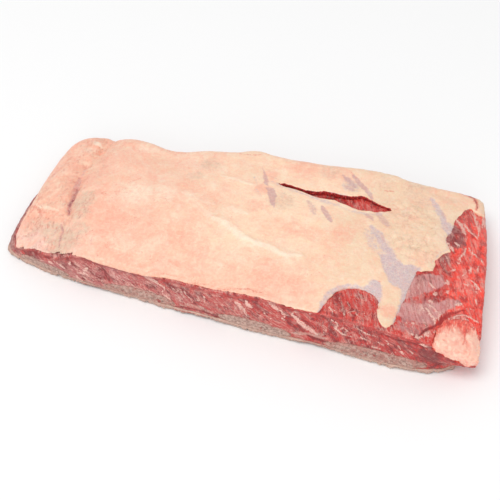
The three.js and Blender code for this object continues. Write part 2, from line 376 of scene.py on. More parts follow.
working = {  # for every piece, unless its own list says otherwise
    "hold": 0.05,  # how strongly its sharp edges are rounded
    "against": 1.4,  # how near another piece hides a face
    "sink": 0.4,  # how deep a hidden face is sunk
    "root": 0,  # how far its underside is drawn down into what carries it
}


def softCopy(node, name, sizes, others):  # without facets, and thinned where the others hide it
    sizes = working | sizes
    piece = copyOf(node, name)
    edges = sharpEdges(piece)
    if sizes["root"]:
        points, normals = surfaceOf(piece)
        points[:, 2] -= sizes["root"] * smooth(-normals[:, 2], 0.3, 0.8)
        movePoints(piece, points)
    remesh(piece, sizes["voxel"])
    softenFacets(piece, edges, sizes["rounds"], sizes["reach"], sizes["hold"])
    thinHidden(piece, others, sizes["keep"], sizes["against"], sizes["sink"])
    return piece, edges


def nearTo(points, nodes, reach, tried):  # 1 next to these solids, falling to 0 a little farther off
    trees = solidTrees(nodes)
    found = np.zeros(len(points))
    for index in np.flatnonzero(tried):
        for tree in trees:
            away = tree.find_nearest(Vector(points[index] * mm), reach * mm)[3]
            if away is not None:
                found[index] = 1 - away / mm / reach
    return found


ribNodes = ["rib_1", "rib_2", "rib_3", "rib_4"]
ribTop = 16  # no rib reaches this high


def nearRibs(points, reach):
    return nearTo(points, ribNodes, reach, points[:, 2] < ribTop)


def finishPiece(piece, slot, material, *nodes):
    for polygon in piece.data.polygons:
        polygon.use_smooth = True
    piece.data.materials.append(material)
    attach(piece, "root")
    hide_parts(*nodes)
    print(piece.name, "made:", len(piece.data.polygons), "faces")


def shades(**seen):  # colours seen on screen, as the shader's linear numbers
    linear = {}
    for name, tone in seen.items():
        lit = [c / 255 for c in tone]
        linear[name] = tuple(c / 12.92 if c < 0.04 else ((c + 0.055) / 1.055) ** 2.4 for c in lit) + (1,)
    return linear


class Finish:  # a material whose colours are laid one over the other
    def __init__(self, name, base, **constants):
        self.material = bpy.data.materials.new(name)
        self.material.use_nodes = True
        self.tree = self.material.node_tree
        self.shader = self.tree.nodes["Principled BSDF"]
        for socket, value in constants.items():
            self.shader.inputs[socket.replace("_", " ")].default_value = value
        where = {0: self.add("ShaderNodeTexCoord").outputs["Object"], "Scale": 1 / mm}
        self.place = self.add("ShaderNodeVectorMath", where, operation="SCALE").outputs[0]
        self.color = base

    def feed(self, socket, value):
        if isinstance(value, bpy.types.NodeSocket):
            self.tree.links.new(value, socket)
        else:
            socket.default_value = value

    def add(self, kind, inputs=None, **settings):
        node = self.tree.nodes.new(kind)
        for key, value in settings.items():
            setattr(node, key, value)
        for key, value in (inputs or {}).items():
            self.feed(node.inputs[key], value)
        return node

    def mark(self, name, output="Fac"):  # what was painted on the vertices
        return self.add("ShaderNodeAttribute", attribute_name=name).outputs[output]

    def stretched(self, vector, scale):
        return self.add("ShaderNodeVectorMath", {0: vector, 1: scale}, operation="MULTIPLY").outputs[0]

    def noise(self, size, detail=3.0, vector=None, rough=0.55, twist=0.0):
        inputs = {"Vector": vector or self.place, "Scale": 1 / size, "Detail": detail}
        inputs |= {"Roughness": rough, "Distortion": twist}
        return self.add("ShaderNodeTexNoise", inputs).outputs["Fac"]

    def cells(self, size):
        return self.add("ShaderNodeTexVoronoi", {"Vector": self.place, "Scale": 1 / size}).outputs["Distance"]

    def ramp(self, value, start, end, low=0.0, high=1.0):
        inputs = {0: value, 1: start, 2: end, 3: low, 4: high}
        return self.add("ShaderNodeMapRange", inputs, interpolation_type="SMOOTHSTEP").outputs[0]

    def combine(self, operation, a, b=0.0):
        return self.add("ShaderNodeMath", {0: a, 1: b}, operation=operation).outputs[0]

    def times(self, a, b):
        return self.combine("MULTIPLY", a, b)

    def plus(self, a, b):
        return self.combine("ADD", a, b)

    def swing(self, noise, amount):  # a noise made to swing about 0
        return self.times(self.plus(noise, -0.5), amount)

    def frayed(self, name, *swings):  # a painted mark made ragged: noises, and how far each one swings
        value = self.mark(name)
        for noise, amount in swings:
            value = self.plus(value, self.swing(noise, amount))
        return value

    def total(self, *shares):  # fields added up, each times its share
        value = self.times(*shares[0])
        for share in shares[1:]:
            value = self.plus(value, self.times(*share))
        return value

    def threads(self, noise, width):  # thin branching lines where a noise passes through its middle
        return self.ramp(self.combine("ABSOLUTE", self.plus(noise, -0.5)), 0, width, 1, 0)

    def mix(self, amount, a, b):
        node = self.add("ShaderNodeMix", data_type="RGBA")
        for index, value in ((0, amount), (6, a), (7, b)):
            self.feed(node.inputs[index], value)
        return node.outputs[2]

    def lay(self, amount, color):  # lays a colour over what is there
        self.color = self.mix(amount, self.color, color)

    def tint(self, color, amount, start, end, field):  # lays a colour where a field is high
        self.lay(self.ramp(field, start, end, 0, amount), color)

    def finish(self, gloss, height, strength, depth):
        self.tree.links.new(self.color, self.shader.inputs["Base Color"])
        if gloss is not None:
            self.tree.links.new(gloss, self.shader.inputs["Roughness"])
        bump = self.add("ShaderNodeBump", {"Height": height, "Strength": strength, "Distance": depth * mm})
        self.tree.links.new(bump.outputs[0], self.shader.inputs["Normal"])
        return self.material


# the fat cap
fat = {
    "voxel": 0.8,
    "rounds": 50,  # how long its facets are rounded off
    "reach": 7,  # how far from a sharp edge that has its full strength
    "keep": 0.08,  # the share of its hidden faces that stays
    "against": 1.6,
    "sink": 0,
    "root": 1.1,
    "trimmed": (58, 64),  # where along the slab its trimmed part begins
    "leftEnd": (-130, -80),  # where its wrinkled left end passes over into the rest
    "warm": (-90, 20),  # where its warmer left part does
    "farLeft": (-130, -96),  # and the apricot end of that
    "yellowing": (40, 80),  # where the yellower right part begins
    "front": (-58, -18),  # how far in from the front edge it is warm as well
    "border": (-70, -56),  # how far in it is flushed
    "leftBack": 1.2,  # how far its left border is drawn back over the lean
    "feather": 0.9,  # how much thinner it is along its trimmed border
    "relief": [(24, 0.4, 1), (9, 0.26, 2), (3.5, 0.1, 3)],  # its swellings: size, height, seed
    "crumbs": 0.55,  # how high they stand where it is crumbly
    "wrinkles": 0.5,  # how high they stand at its left end
    **shades(
        cream=(255, 220, 188), peach=(252, 198, 172), apricot=(246, 182, 156), yellow=(243, 209, 176),
        salmon=(248, 172, 146), pink=(248, 208, 194), stain=(222, 191, 166), crease=(216, 132, 114),
        crack=(206, 158, 132), highlight=(255, 238, 214), lavender=(218, 199, 200), dusk=(198, 172, 174),
        plum=(206, 162, 160), cut=(146, 62, 72), bruise=(196, 134, 136), vein=(226, 110, 92),
        inside=(196, 52, 46), insideDark=(112, 24, 26),
    ),
}
fatGlow = {"Subsurface_Weight": 0.12, "Subsurface_Scale": 0.003, "Subsurface_Radius": (1, 0.4, 0.25)}
marksFrom = (-0.35, -0.91)  # the marks below are measured from here
fatCuts = [  # incised lines, dark partly in their own purple-red, partly with painted shade: path, width, depth, darkness
    ([(-128, 13), (-126, 4), (-123, -6), (-122, -12)], 3.6, 0.9, 0.6),
    ([(-125, 1), (-122.5, -11), (-121.5, -18), (-118.5, -26)], 2.3, 1.2, 1),
    ([(-120, -35), (-117, -41), (-115, -48), (-113, -54)], 1.3, 0.6, 0.8),
    ([(-108, -27), (-108, -32)], 0.9, 0.3, 0.5), ([(-121, -37), (-121, -43), (-120, -49)], 0.9, 0.2, 0.35),
    ([(-103, -39), (-103, -45), (-101, -51)], 0.9, 0.2, 0.4),
    ([(-129, 27), (-128, 20), (-127, 13)], 1.6, 0.5, 0.35), ([(-92, -46), (-90, -53)], 1.2, 0.2, 0.35),
]
fatFolds = [  # soft valleys: path, width, depth
    ([(-121, 74), (-123, 63), (-124.5, 55), (-125, 49), (-124.5, 42)], 5, 1.8),
    ([(-126, 40), (-129, 27), (-127, 13), (-122, -6), (-117, -26), (-116, -56)], 6, 0.8),
    ([(-96, 50), (-90, 20), (-94, -10)], 10, 0.5), ([(-150, 20), (-142, -10), (-138, -30)], 6, 0.5),
]
fatHighlightRidges = [  # raised swellings with a painted highlight along them: path, width, height, highlight strength
    ([(-42, 2), (-30, -8), (-19, -14), (-11, -17)], 5, 0.4, 0.5),
    ([(-22, -12), (-11, -16), (-5, -20), (2, -24), (8, -27)], 5.5, 0.55, 0.85),
    ([(2, -24), (10, -27), (18, -28), (25, -30), (32, -32), (40, -29)], 4.4, 0.6, 0.9),
    ([(-13, -15), (-5, -20), (2, -24), (10, -27), (18, -28), (25, -30), (32, -32)], 2.4, 0.1, 1),
    ([(-51, 7), (-45, 7), (-40, 4)], 4.2, 0.35, 0.6), ([(-36, 2), (-31, 1), (-26, 1)], 3.6, 0.3, 0.5),
    ([(-15, 2), (-9, -1), (-3, -2)], 4, 0.35, 0.6),
    ([(-32, 33), (-27, 32), (-20, 31), (-14, 29), (-8, 28)], 2.6, 0.3, 0.7),
    ([(-35, 24), (-31, 16)], 4, 0.2, 0.45), ([(31, -35), (37, -37)], 5, 0.25, 0.5),
    ([(25, 7), (24, 3), (25, -1)], 2.2, 0.2, 0.5), ([(14, -40), (19, -37)], 2, 0.1, 0.5),
    ([(-133, 52), (-127, 49)], 4.5, 0.6, 0.8), ([(-140, 24), (-143, 8)], 7, 0.4, 0.35),
    ([(-144, -20), (-137, -22), (-126, -25)], 3, 0.25, 0.7),
    ([(-144, -17), (-136, -9), (-134, -2)], 3.2, 0.25, 0.5),
]
fatVeils = [  # lavender film: outline, strength
    ([(73, -46), (78, -41), (83, -42), (84, -38), (87, -34), (90, -34), (93, -39), (95, -46), (95, -54),
       (91, -50), (87, -46), (81, -44)], 1),
    ([(86, -13), (93, -8), (98, -14), (102, -17), (106, -15), (113, -15), (113, -22), (111, -30), (110, -45),
       (108, -68), (105, -66), (106, -48), (104, -38), (97, -35), (94, -30), (91, -24)], 1),
    ([(116, 36), (121, 34), (127, 33), (128, 24), (123, 20), (119, 25)], 0.9),
    ([(47, 54), (52, 58), (59, 52), (61, 42), (51, 40)], 0.45),
]
fatBands = [  # thinner film: path, width, strength
    ([(76, 12), (82, 4), (85, -1), (89, -6), (94, -11), (98, -17)], 6, 0.85),
    ([(74, 8), (78, -1), (83, -8), (89, -14)], 6, 0.6),
    ([(108, 53), (113, 46), (115, 42), (118, 36), (121, 31)], 4.4, 0.85),
    ([(62, -68), (62, -60), (64, -53), (68, -47), (75, -43)], 3.2, 0.85),
    ([(2, 37), (12, 34), (20, 31.5), (28, 30.5)], 3.2, 0.6),
    ([(28, 30.5), (34, 28.5), (42, 27), (52, 24.5)], 3.8, 0.65),
    ([(52, 24.5), (60, 22.5), (70, 23), (84, 27.5)], 3, 0.55), ([(40, 37.5), (50, 37), (58, 39)], 1.8, 0.5),
    ([(-12, 41), (-7, 33), (-4, 28)], 1.6, 0.45), ([(-5, 25), (0, 19)], 2.6, 0.4),
    ([(48, 57), (53, 53), (58, 48)], 3.4, 0.6),
    ([(118, -8), (123, 3), (126, 7), (124, 14), (122, 19)], 1.6, 0.5),
]
fatPlums = [  # pinker wedges where the lean shows through: path, width, strength
    ([(47, 58), (52, 54), (57, 48)], 4, 0.7), ([(51, 47), (57, 44)], 3.6, 0.6),
    ([(53, 61), (59, 54), (65, 48), (71, 40)], 3.2, 1), ([(71, 23), (75, 18)], 3.6, 0.65),
    ([(76, 27), (81, 21), (86, 16)], 4.2, 0.6), ([(31, 24), (36, 17), (39, 11)], 4, 0.5),
    ([(41, 21), (46, 14), (51, 7)], 3.2, 0.9), ([(83, 6), (87, -1)], 2.2, 0.5),
    ([(117, 42), (120, 36)], 2.6, 0.5), ([(-1, 43), (6, 41)], 1.4, 0.4), ([(120, 30), (123, 25)], 1.8, 0.5),
]
fatWedges = [  # the two largest of them: outline, strength
    ([(-8, 52), (-4, 45), (1, 36), (2, 30), (-2, 33), (-5, 43)], 0.75),
    ([(0, 29), (6, 30), (10, 23), (12.5, 9), (9, 12), (4, 23)], 0.95),
]
fatBlush = [  # salmon flushes: centre, radius, strength
    ((-142, 34), 14, 0.9), ((-149, 38), 12, 0.8), ((-129, 27), 10, 0.6), ((-103, -6), 6, 1),
    ((-99, -23), 7, 1), ((-86, -29), 18, 1), ((-87, -41), 12, 0.9), ((-87, -50), 6, 0.8),
    ((-82, -51), 5, 0.8), ((-50, 13), 16, 0.7), ((-30, 6), 14, 0.7), ((-40, -24), 16, 0.6),
    ((-30, -36), 18, 0.8), ((-43, -53), 12, 0.7), ((-25, -51), 10, 0.7), ((6, -55), 16, 0.6),
    ((29, -54), 20, 0.7), ((-24, 21), 9, 0.7), ((20, -12), 20, 0.6), ((-62, -27), 16, 0.5),
    ((54, -5), 13, 0.6), ((58, -14), 12, 0.7), ((58, -28), 12, 0.6), ((117, 60), 20, 0.6),
    ((128, 60), 14, 0.6), ((96, 32), 14, 0.5), ((110, -8), 13, 0.6), ((-100, 48), 26, 0.6),
    ((-62, 48), 26, 0.4), ((0, 58), 26, 0.4), ((-108, 20), 16, 0.5), ((-136, -6), 14, 0.6),
    ((-146, -22), 10, 0.5), ((50, -58), 16, 0.4), ((-80, -54), 9, 1), ((-66, -60), 8, 1),
    ((-52, -62), 6, 0.8), ((-94, -50), 7, 0.7), ((-20, -58), 9, 0.6), ((0, -60), 9, 0.6), ((20, 60), 22, 1),
    ((42, 60), 18, 0.9), ((1, 44), 10, 0.9), ((-142, -32), 12, 0.9), ((-100, -20), 12, 0.8),
    ((-100, -36), 10, 0.7), ((24, -54), 16, 0.9), ((42, -54), 14, 0.9), ((-38, -54), 14, 0.7),
    ((-18, -54), 14, 0.7), ((-138, -34), 16, 1), ((-100, -26), 14, 0.9), ((-40, -34), 16, 0.9),
    ((22, -42), 12, 0.8), ((60, -2), 14, 0.9), ((-40, -58), 14, 1), ((-22, -42), 13, 1), ((1, 42), 10, 0.9),
    ((-1, 26), 10, 1), ((0, 8), 11, 0.9), ((28, -6), 16, 0.9), ((101, -58), 9, 1), ((-141, 24), 12, 0.9),
    ((-36, -56), 12, 1), ((42, -8), 12, 0.8), ((20, -4), 12, 0.7), ((-130, -30), 14, 0.8),
]
fatHighlightSpots = [  # paler flushes: round painted highlights
    ((-79, 0), 20, 0.7), ((-62, 4), 16, 0.6), ((-92, 54), 14, 0.6), ((-58, 54), 18, 0.5),
]
fatStains = [  # greyish patches: centre, radius, strength
    ((-112, -15), 15, 0.8), ((-137, -38), 14, 0.5), ((-110, -49), 17, 0.9), ((-104, -41), 12, 0.7),
    ((-110, -26), 12, 0.7), ((-43, 44), 12, 0.6), ((-48, 28), 10, 0.5), ((15, 17), 14, 0.6),
    ((-119, -48), 10, 0.6), ((56, 48), 10, 0.6), ((97, 58), 16, 0.5), ((104, 50), 10, 0.5),
    ((38, 60), 12, 0.5), ((75, 60), 12, 0.4), ((120, 52), 9, 0.3), ((-123, -41), 12, 0.8),
]
fatVeins = [  # fine reddish lines: path, width, strength
    ([(-152, -2), (-144, -18), (-136, -26)], 1.6, 0.45), ([(-148, -25), (-142, -23)], 1.2, 0.5),
    ([(-128, -14), (-132, -18)], 1.2, 0.5), ([(-148, 37), (-143, 26), (-137, 19)], 1.8, 0.45),
    ([(-148, 15), (-148, 10)], 1.3, 0.8), ([(-139, 43), (-136, 38)], 1.1, 0.5),
    ([(-150, -14), (-146, -30)], 1.2, 0.5), ([(-50, -65), (-36, -63), (-25, -64)], 1.4, 0.6),
    ([(-21, -66), (-14, -66), (-7, -65)], 1.4, 0.7), ([(-4, -66), (5, -66), (17, -64), (30, -66)], 1.4, 0.8),
    ([(-28, 62), (-18, 63), (-12, 65)], 2, 0.7), ([(50, 64), (58, 57)], 1.1, 0.6),
    ([(76, 52), (83, 52)], 1.6, 0.9), ([(84, 34), (95, 36)], 1.1, 0.7),
    ([(94, 21), (96, 14), (98, 12)], 0.9, 0.45), ([(94, 21), (99, 27), (106, 30)], 0.9, 0.35),
    ([(111, 26), (111, 17), (111, 11), (111, 3), (114, 0)], 0.9, 0.4), ([(91, 6), (97, 2)], 0.9, 0.4),
    ([(111.5, 9), (112.5, 9)], 1.1, 0.9), ([(115.5, 1), (116.5, 1)], 0.9, 0.8),
    ([(119.5, 1), (120.5, 0.5)], 1, 0.8), ([(89.5, -35), (91, -35)], 1.3, 0.9),
    ([(-58, 37), (-56, 37)], 1.2, 0.6), ([(12, 9), (12, 1)], 0.9, 0.4), ([(92.5, -57), (97, -56.5)], 1.9, 1),
    ([(-84, -58), (-80, -62)], 1.2, 0.6), ([(-147, -30), (-145, -20)], 1.6, 0.8),
    ([(-145, -21), (-140, -26), (-136, -30)], 1.8, 0.7), ([(-145, -19), (-146, -10), (-143, -1)], 2.4, 0.5),
    ([(-104, -6), (-99, -8)], 1.4, 0.6), ([(15, -37), (24, -36)], 1, 0.2),
]
fatBumpy = [  # where it is crumbly
    (76, 40), (84, 14), (96, -8), (112, -14), (122, 0), (118, 20), (116, 34), (100, 46),
]
notch = [  # where the lean shows at the far right corner
    (122, 69.5), (130, 68), (135, 67), (137.5, 62), (138, 56),
]
gash = [(8, 37), (13, 36), (22.5, 34.8), (30, 33.6), (36, 34)]  # the slit's nearly closed left part
slit = [  # the slit's outline
    (4, 38), (20, 37), (29, 36), (38, 38.5), (48, 38), (57, 38), (63.5, 41.5), (70, 39), (76, 36), (82, 34),
    (90, 32), (80, 26), (70, 23.5), (62, 22.5), (55, 24), (49.5, 25), (43.3, 27), (37, 27), (29, 28),
    (20.5, 30), (4, 32.5),
]


def trimFat(piece, edges, points, normals):  # frays its borders, where it was trimmed and where it was sawn
    x, y = points[:, 0], points[:, 1]
    trimmed = smooth(x, *fat["trimmed"])
    fray = 0.9 * roughness(points, 5, 15) + 0.5 * roughness(points, 2, 16)
    points[:, 0] += fray * trimmed
    points[:, 1] += 0.6 * roughness(points, 3, 17) * trimmed
    leftBorder = fall(x, -156, -144) * fall(y, -75, 60)
    points[:, 0] += fat["leftBack"] * leftBorder
    thinner = fall(edgeGap(piece, edges), 0, 7) * trimmed * smooth(normals[:, 2], -0.6, 0)
    points[:, 2] -= fat["feather"] * thinner * (1 - patch(points[:, :2], slit, 4))
    points[:, 2] += 0.7 * roughness(points * (1, 0, 1), 2.2, 18) * smooth(-normals[:, 1], 0.3, 0.7)


def shapeFat():
    piece, edges = softCopy("fat_cap", "fatCap", fat, ["lean_meat"])
    points, normals = surfaceOf(piece)
    trimFat(piece, edges, points, normals)
    x, y = points[:, 0], points[:, 1]
    flat = points[:, :2] - marksFrom + sway(points, 7, 11, 12)
    flat = flat + 0.5 * sway(points, 2.2, 13, 14)
    left = fall(x, *fat["leftEnd"])
    crumbly = patch(flat, fatBumpy, 8)
    film = np.maximum(filled(flat, fatVeils, 1.6), drawn(flat, fatBands))
    plum = np.maximum(filled(flat, fatWedges, 0.9), drawn(flat, fatPlums))
    # pale: where a painted highlight lies, on the paler flushes and along the ridges
    cut, pale = np.zeros(len(points)), dabbed(flat, fatHighlightSpots)
    creased = points @ np.array([[0.8, 0.25, 0], [-0.6, 0.35, 0], [0, 0, 0.5]])
    lift = swells(points, fat["relief"])
    lift += 0.04 * lumps(points, 1.7, 4) + fat["wrinkles"] * left * roughness(creased, 5, 5, 2)
    # each cut is sunk and painted dark: partly its own colour, partly painted shade in the incision
    for line, width, depth, darkness in fatCuts:
        cut = np.maximum(cut, darkness * stroke(flat, line, width))
        lift -= depth * stroke(flat, line, width * 1.6)
    lift += fat["crumbs"] * crumbly * (roughness(points, 3.2, 19) + 0.5 * lumps(points, 8, 20))
    for line, width, depth in fatFolds:
        lift -= depth * stroke(flat, line, width)
    # the ridges are raised, and a painted highlight lies along them
    for line, width, height, highlightStrength in fatHighlightRidges:
        pale = np.maximum(pale, highlightStrength * stroke(flat, line, width))
        lift += height * stroke(flat, line, width * 1.7)
    lift -= 0.3 * film + 0.2 * plum + 1.6 * stroke(flat, gash, 1.5, 0.3)
    slitWalls = patch(points[:, :2], slit, 0.6) * fall(normals[:, 2], 0.6, 0.9)
    inside = np.maximum(slitWalls, stroke(flat, gash, 0.9, 0.3))
    inside = np.maximum(inside, 0.55 * stroke(flat, notch, 2.6, 0.8))
    movePoints(piece, points + normals * (lift * smooth(normals[:, 2], 0.3, 0.8))[:, None])
    warm = fall(x + 16 * lumps(points, 40, 21), *fat["warm"])
    nearFront = fall(y + 6 * lumps(points, 20, 23), *fat["front"])
    border = fall(y + 2 * roughness(points, 9, 25), *fat["border"])
    paint(
        piece,
        warm=np.maximum(warm, 0.8 * nearFront * fall(x, 50, 80)),
        far=fall(x + 10 * lumps(points, 22, 24), *fat["farLeft"]),
        yellow=smooth(x + 16 * lumps(points, 40, 22), *fat["yellowing"]),
        blush=np.maximum(dabbed(flat, fatBlush), border * fall(x, 30, 50)),
        blanched=left * fall(y, -46, -30),
        stain=dabbed(flat, fatStains),
        vein=np.maximum(drawn(flat, fatVeins), stroke(flat, notch, 4.4, 0.7)),
        crumbly=crumbly, cut=cut, film=film, plum=plum, pale=pale, inside=inside,
    )
    return piece


def fatFinish():
    f = Finish("rawFat", fat["cream"], Roughness=0.5, **fatGlow)
    middling, small, fine, grit = f.noise(7, 4), f.noise(2.4, 4), f.noise(0.9, 3), f.noise(0.7, 4, rough=0.7)
    grains = f.cells(1.7)
    # its ground: warm to the left, yellower to the right
    f.lay(f.mark("warm"), fat["peach"])
    f.lay(f.times(f.mark("far"), f.ramp(f.noise(9, 4), 0.4, 0.58, 0.5, 1)), fat["apricot"])
    f.lay(f.mark("yellow"), fat["yellow"])
    f.lay(f.times(f.ramp(f.noise(26, 3), 0.4, 0.7), 0.35), fat["yellow"])
    f.lay(f.times(f.mark("blanched"), f.ramp(middling, 0.3, 0.6, 0.3, 0.9)), fat["pink"])
    f.tint(fat["salmon"], 0.77, 0.2, 1.32, f.frayed("blush", (f.noise(5, 4, rough=0.6), 1.8)))
    f.tint(fat["salmon"], 0.3, 0.4, 0.75, f.noise(14, 2, twist=1))
    f.tint(fat["highlight"], 0.3, 0.42, 0.75, f.noise(11, 2, twist=1))
    f.tint(fat["salmon"], 0.25, 0.45, 0.75, f.noise(4, 4, twist=0.8))
    f.tint(fat["highlight"], 0.2, 0.45, 0.75, f.noise(5, 4, twist=0.8))
    # stains, the painted highlight on ridges and paler flushes, film and the places where the lean shows
    # through
    f.tint(fat["stain"], 0.88, 0.1, 1, f.frayed("stain", (f.noise(3, 5, rough=0.7), 1.6)))
    # painted highlight, where the pale mark is
    f.tint(fat["highlight"], 0.85, 0.15, 1.1, f.frayed("pale", (small, 0.7)))
    veil = f.frayed("film", (f.noise(3, 5, rough=0.65), 1.5), (grit, 0.8))
    f.tint(f.mix(f.ramp(grit, 0.35, 0.65), fat["dusk"], fat["lavender"]), 0.95, 0.2, 1, veil)
    f.tint(fat["plum"], 0.8, 0.1, 0.8, f.frayed("plum", (f.noise(1.6, 5, rough=0.65), 1.3)))
    # veins, cracks darkened with painted shade, creases, and cuts darkened partly with painted shade
    fineVeins = f.times(f.threads(f.noise(9, 5, twist=1.2), 0.02), f.ramp(f.noise(16, 2), 0.5, 0.62))
    fineVeins = f.times(fineVeins, f.plus(f.times(f.mark("warm"), 0.5), 0.35))
    redness = f.plus(f.frayed("vein", (f.noise(1.4, 5, rough=0.7), 2.4)), fineVeins)
    f.tint(fat["vein"], 0.8, 0.3, 1.2, redness)
    # painted shade in the cracks of the crumbly part, which the bump alone hardly shows
    cracks = f.times(f.threads(f.noise(5, 4, rough=0.6, twist=1), 0.025), f.mark("crumbly"))
    cracks = f.times(cracks, f.ramp(f.noise(8, 2), 0.42, 0.56))
    f.lay(f.times(cracks, 0.4), fat["crack"])
    creased = f.noise(4, 4, f.stretched(f.place, (1, 0.3, 0.3)), rough=0.6, twist=1.5)
    creases = f.times(f.threads(creased, 0.03), f.ramp(f.noise(7, 2), 0.44, 0.56))
    creases = f.times(creases, f.plus(f.mark("far"), f.mark("stain")))
    f.lay(f.times(creases, 0.55), fat["crease"])
    # the cuts: a purple halo and a dark core, partly their own colour, partly painted shade
    scored = f.frayed("cut", (fine, 0.7))
    f.tint(fat["bruise"], 0.6, 0.05, 0.6, scored)
    f.tint(fat["cut"], 0.9, 0.6, 1.1, scored)
    # the finest mottling
    ruddy = f.ramp(f.noise(4.5, 4, rough=0.6), 0.44, 0.7)
    f.lay(f.times(ruddy, f.plus(f.times(f.mark("warm"), 0.3), 0.12)), fat["salmon"])
    f.tint(fat["salmon"], 0.22, 0.5, 0.66, f.noise(1.3, 5, rough=0.7))
    f.tint(fat["highlight"], 0.26, 0.52, 0.68, f.noise(1.6, 5, rough=0.7))
    f.tint(fat["highlight"], 0.15, 0.5, 0.8, grains)
    # the meat inside the slit
    fibres = f.noise(0.8, 3, f.stretched(f.place, (1, 0.25, 0.5)), twist=0.5)
    meat = f.mix(f.ramp(fibres, 0.4, 0.6), fat["insideDark"], fat["inside"])
    meat = f.mix(f.ramp(fibres, 0.64, 0.72, 0, 0.7), meat, fat["lavender"])
    f.tint(meat, 1, 0.35, 0.65, f.frayed("inside", (fine, 0.5)))
    gloss = f.ramp(f.plus(middling, f.times(f.mark("film"), -0.3)), 0.2, 0.8, 0.36, 0.56)
    height = f.total((small, 0.8), (grains, 0.3), (f.noise(1, 5, rough=0.7), 0.9), (cracks, -0.8),
                     (creases, -0.8), (f.mark("crumbly"), f.noise(2.5, 4, rough=0.6)))
    return f.finish(gloss, height, 0.55, 0.4)


finishPiece(shapeFat(), "fat", fatFinish(), "fat_cap")


# the lean meat
lean = {
    "voxel": 0.68,
    "rounds": 40,
    "reach": 5,
    "keep": 0.05,
    "sink": 0,
    "gristle": 3.2,  # how far from a rib the meat is tan
    "eaves": 9,  # how far below the fat the meat on the front face is darker, with painted shade
    "under": 0.8,  # how far it sinks under the fat
    "redSlow": (-80, 60),  # where along the slab it slowly gets redder
    "redFast": (36, 58),  # where it does so at once
    "leftRed": (-126, -112),  # where the redder left end passes over into the rest
    "cutEnd": (108, 136),  # where the bright cut end begins
    "roof": 9,  # how far above the meat the fat is still its roof
    "relief": [(12, 0.3, 43), (2.2, 0.12, 44)],
    "topGrain": (0.38, -0.92, 0),  # the ways its fibres run
    "frontGrain": (0.8, 0.1, -0.6),
    "steepGrain": (0.4, -0.4, -0.8),
    **shades(
        dull=(182, 96, 94), red=(192, 66, 60), ripe=(192, 46, 42), bright=(252, 76, 60), deep=(126, 36, 38),
        crimson=(186, 44, 40), silver=(212, 158, 155), veiled=(190, 122, 119), mauve=(148, 74, 74),
        marble=(242, 204, 188), rosy=(224, 158, 146), tan=(206, 162, 148),
    ),
}
leanFilms = [  # greyish film over the top: outline, strength
    ([(103, -30), (109, -24), (116, -19), (126, -16), (128, -19), (130, -23), (126, -28), (123, -32),
       (119, -35), (115, -38), (110, -43), (104, -44)], 0.9),
    ([(104, -47), (118, -44), (126, -39), (133, -34), (139, -32), (141, -35), (135, -42), (131, -48),
       (127, -58), (117, -60), (103, -58)], 1),
    ([(104, -40), (116, -37), (126, -34), (133, -36), (128, -43), (116, -48), (104, -50)], 0.5),
    ([(108, -57), (117, -58), (127, -57), (124, -64), (121, -70), (116, -71), (109, -70), (106, -67)], 0.6),
    ([(66, -52), (70, -47), (78, -45), (86, -47), (91, -53), (92, -60), (86, -55), (78, -51),
       (70, -53)], 0.35),
]
leanBrowns = [  # duller, darker places on the top: outline, strength
    ([(125, 5), (129, 0), (130, -6), (124, -4), (121, -1)], 0.8),
    ([(125, 33), (131, 30), (136, 23), (137, 15), (131, 10), (124, 12), (122, 17), (124, 23)], 1),
    ([(110, -22), (118, -19), (126, -20), (121, -25), (112, -29)], 0.6),
    ([(113, -55), (118, -57), (122, -64), (117, -70), (111, -69)], 0.3),
]
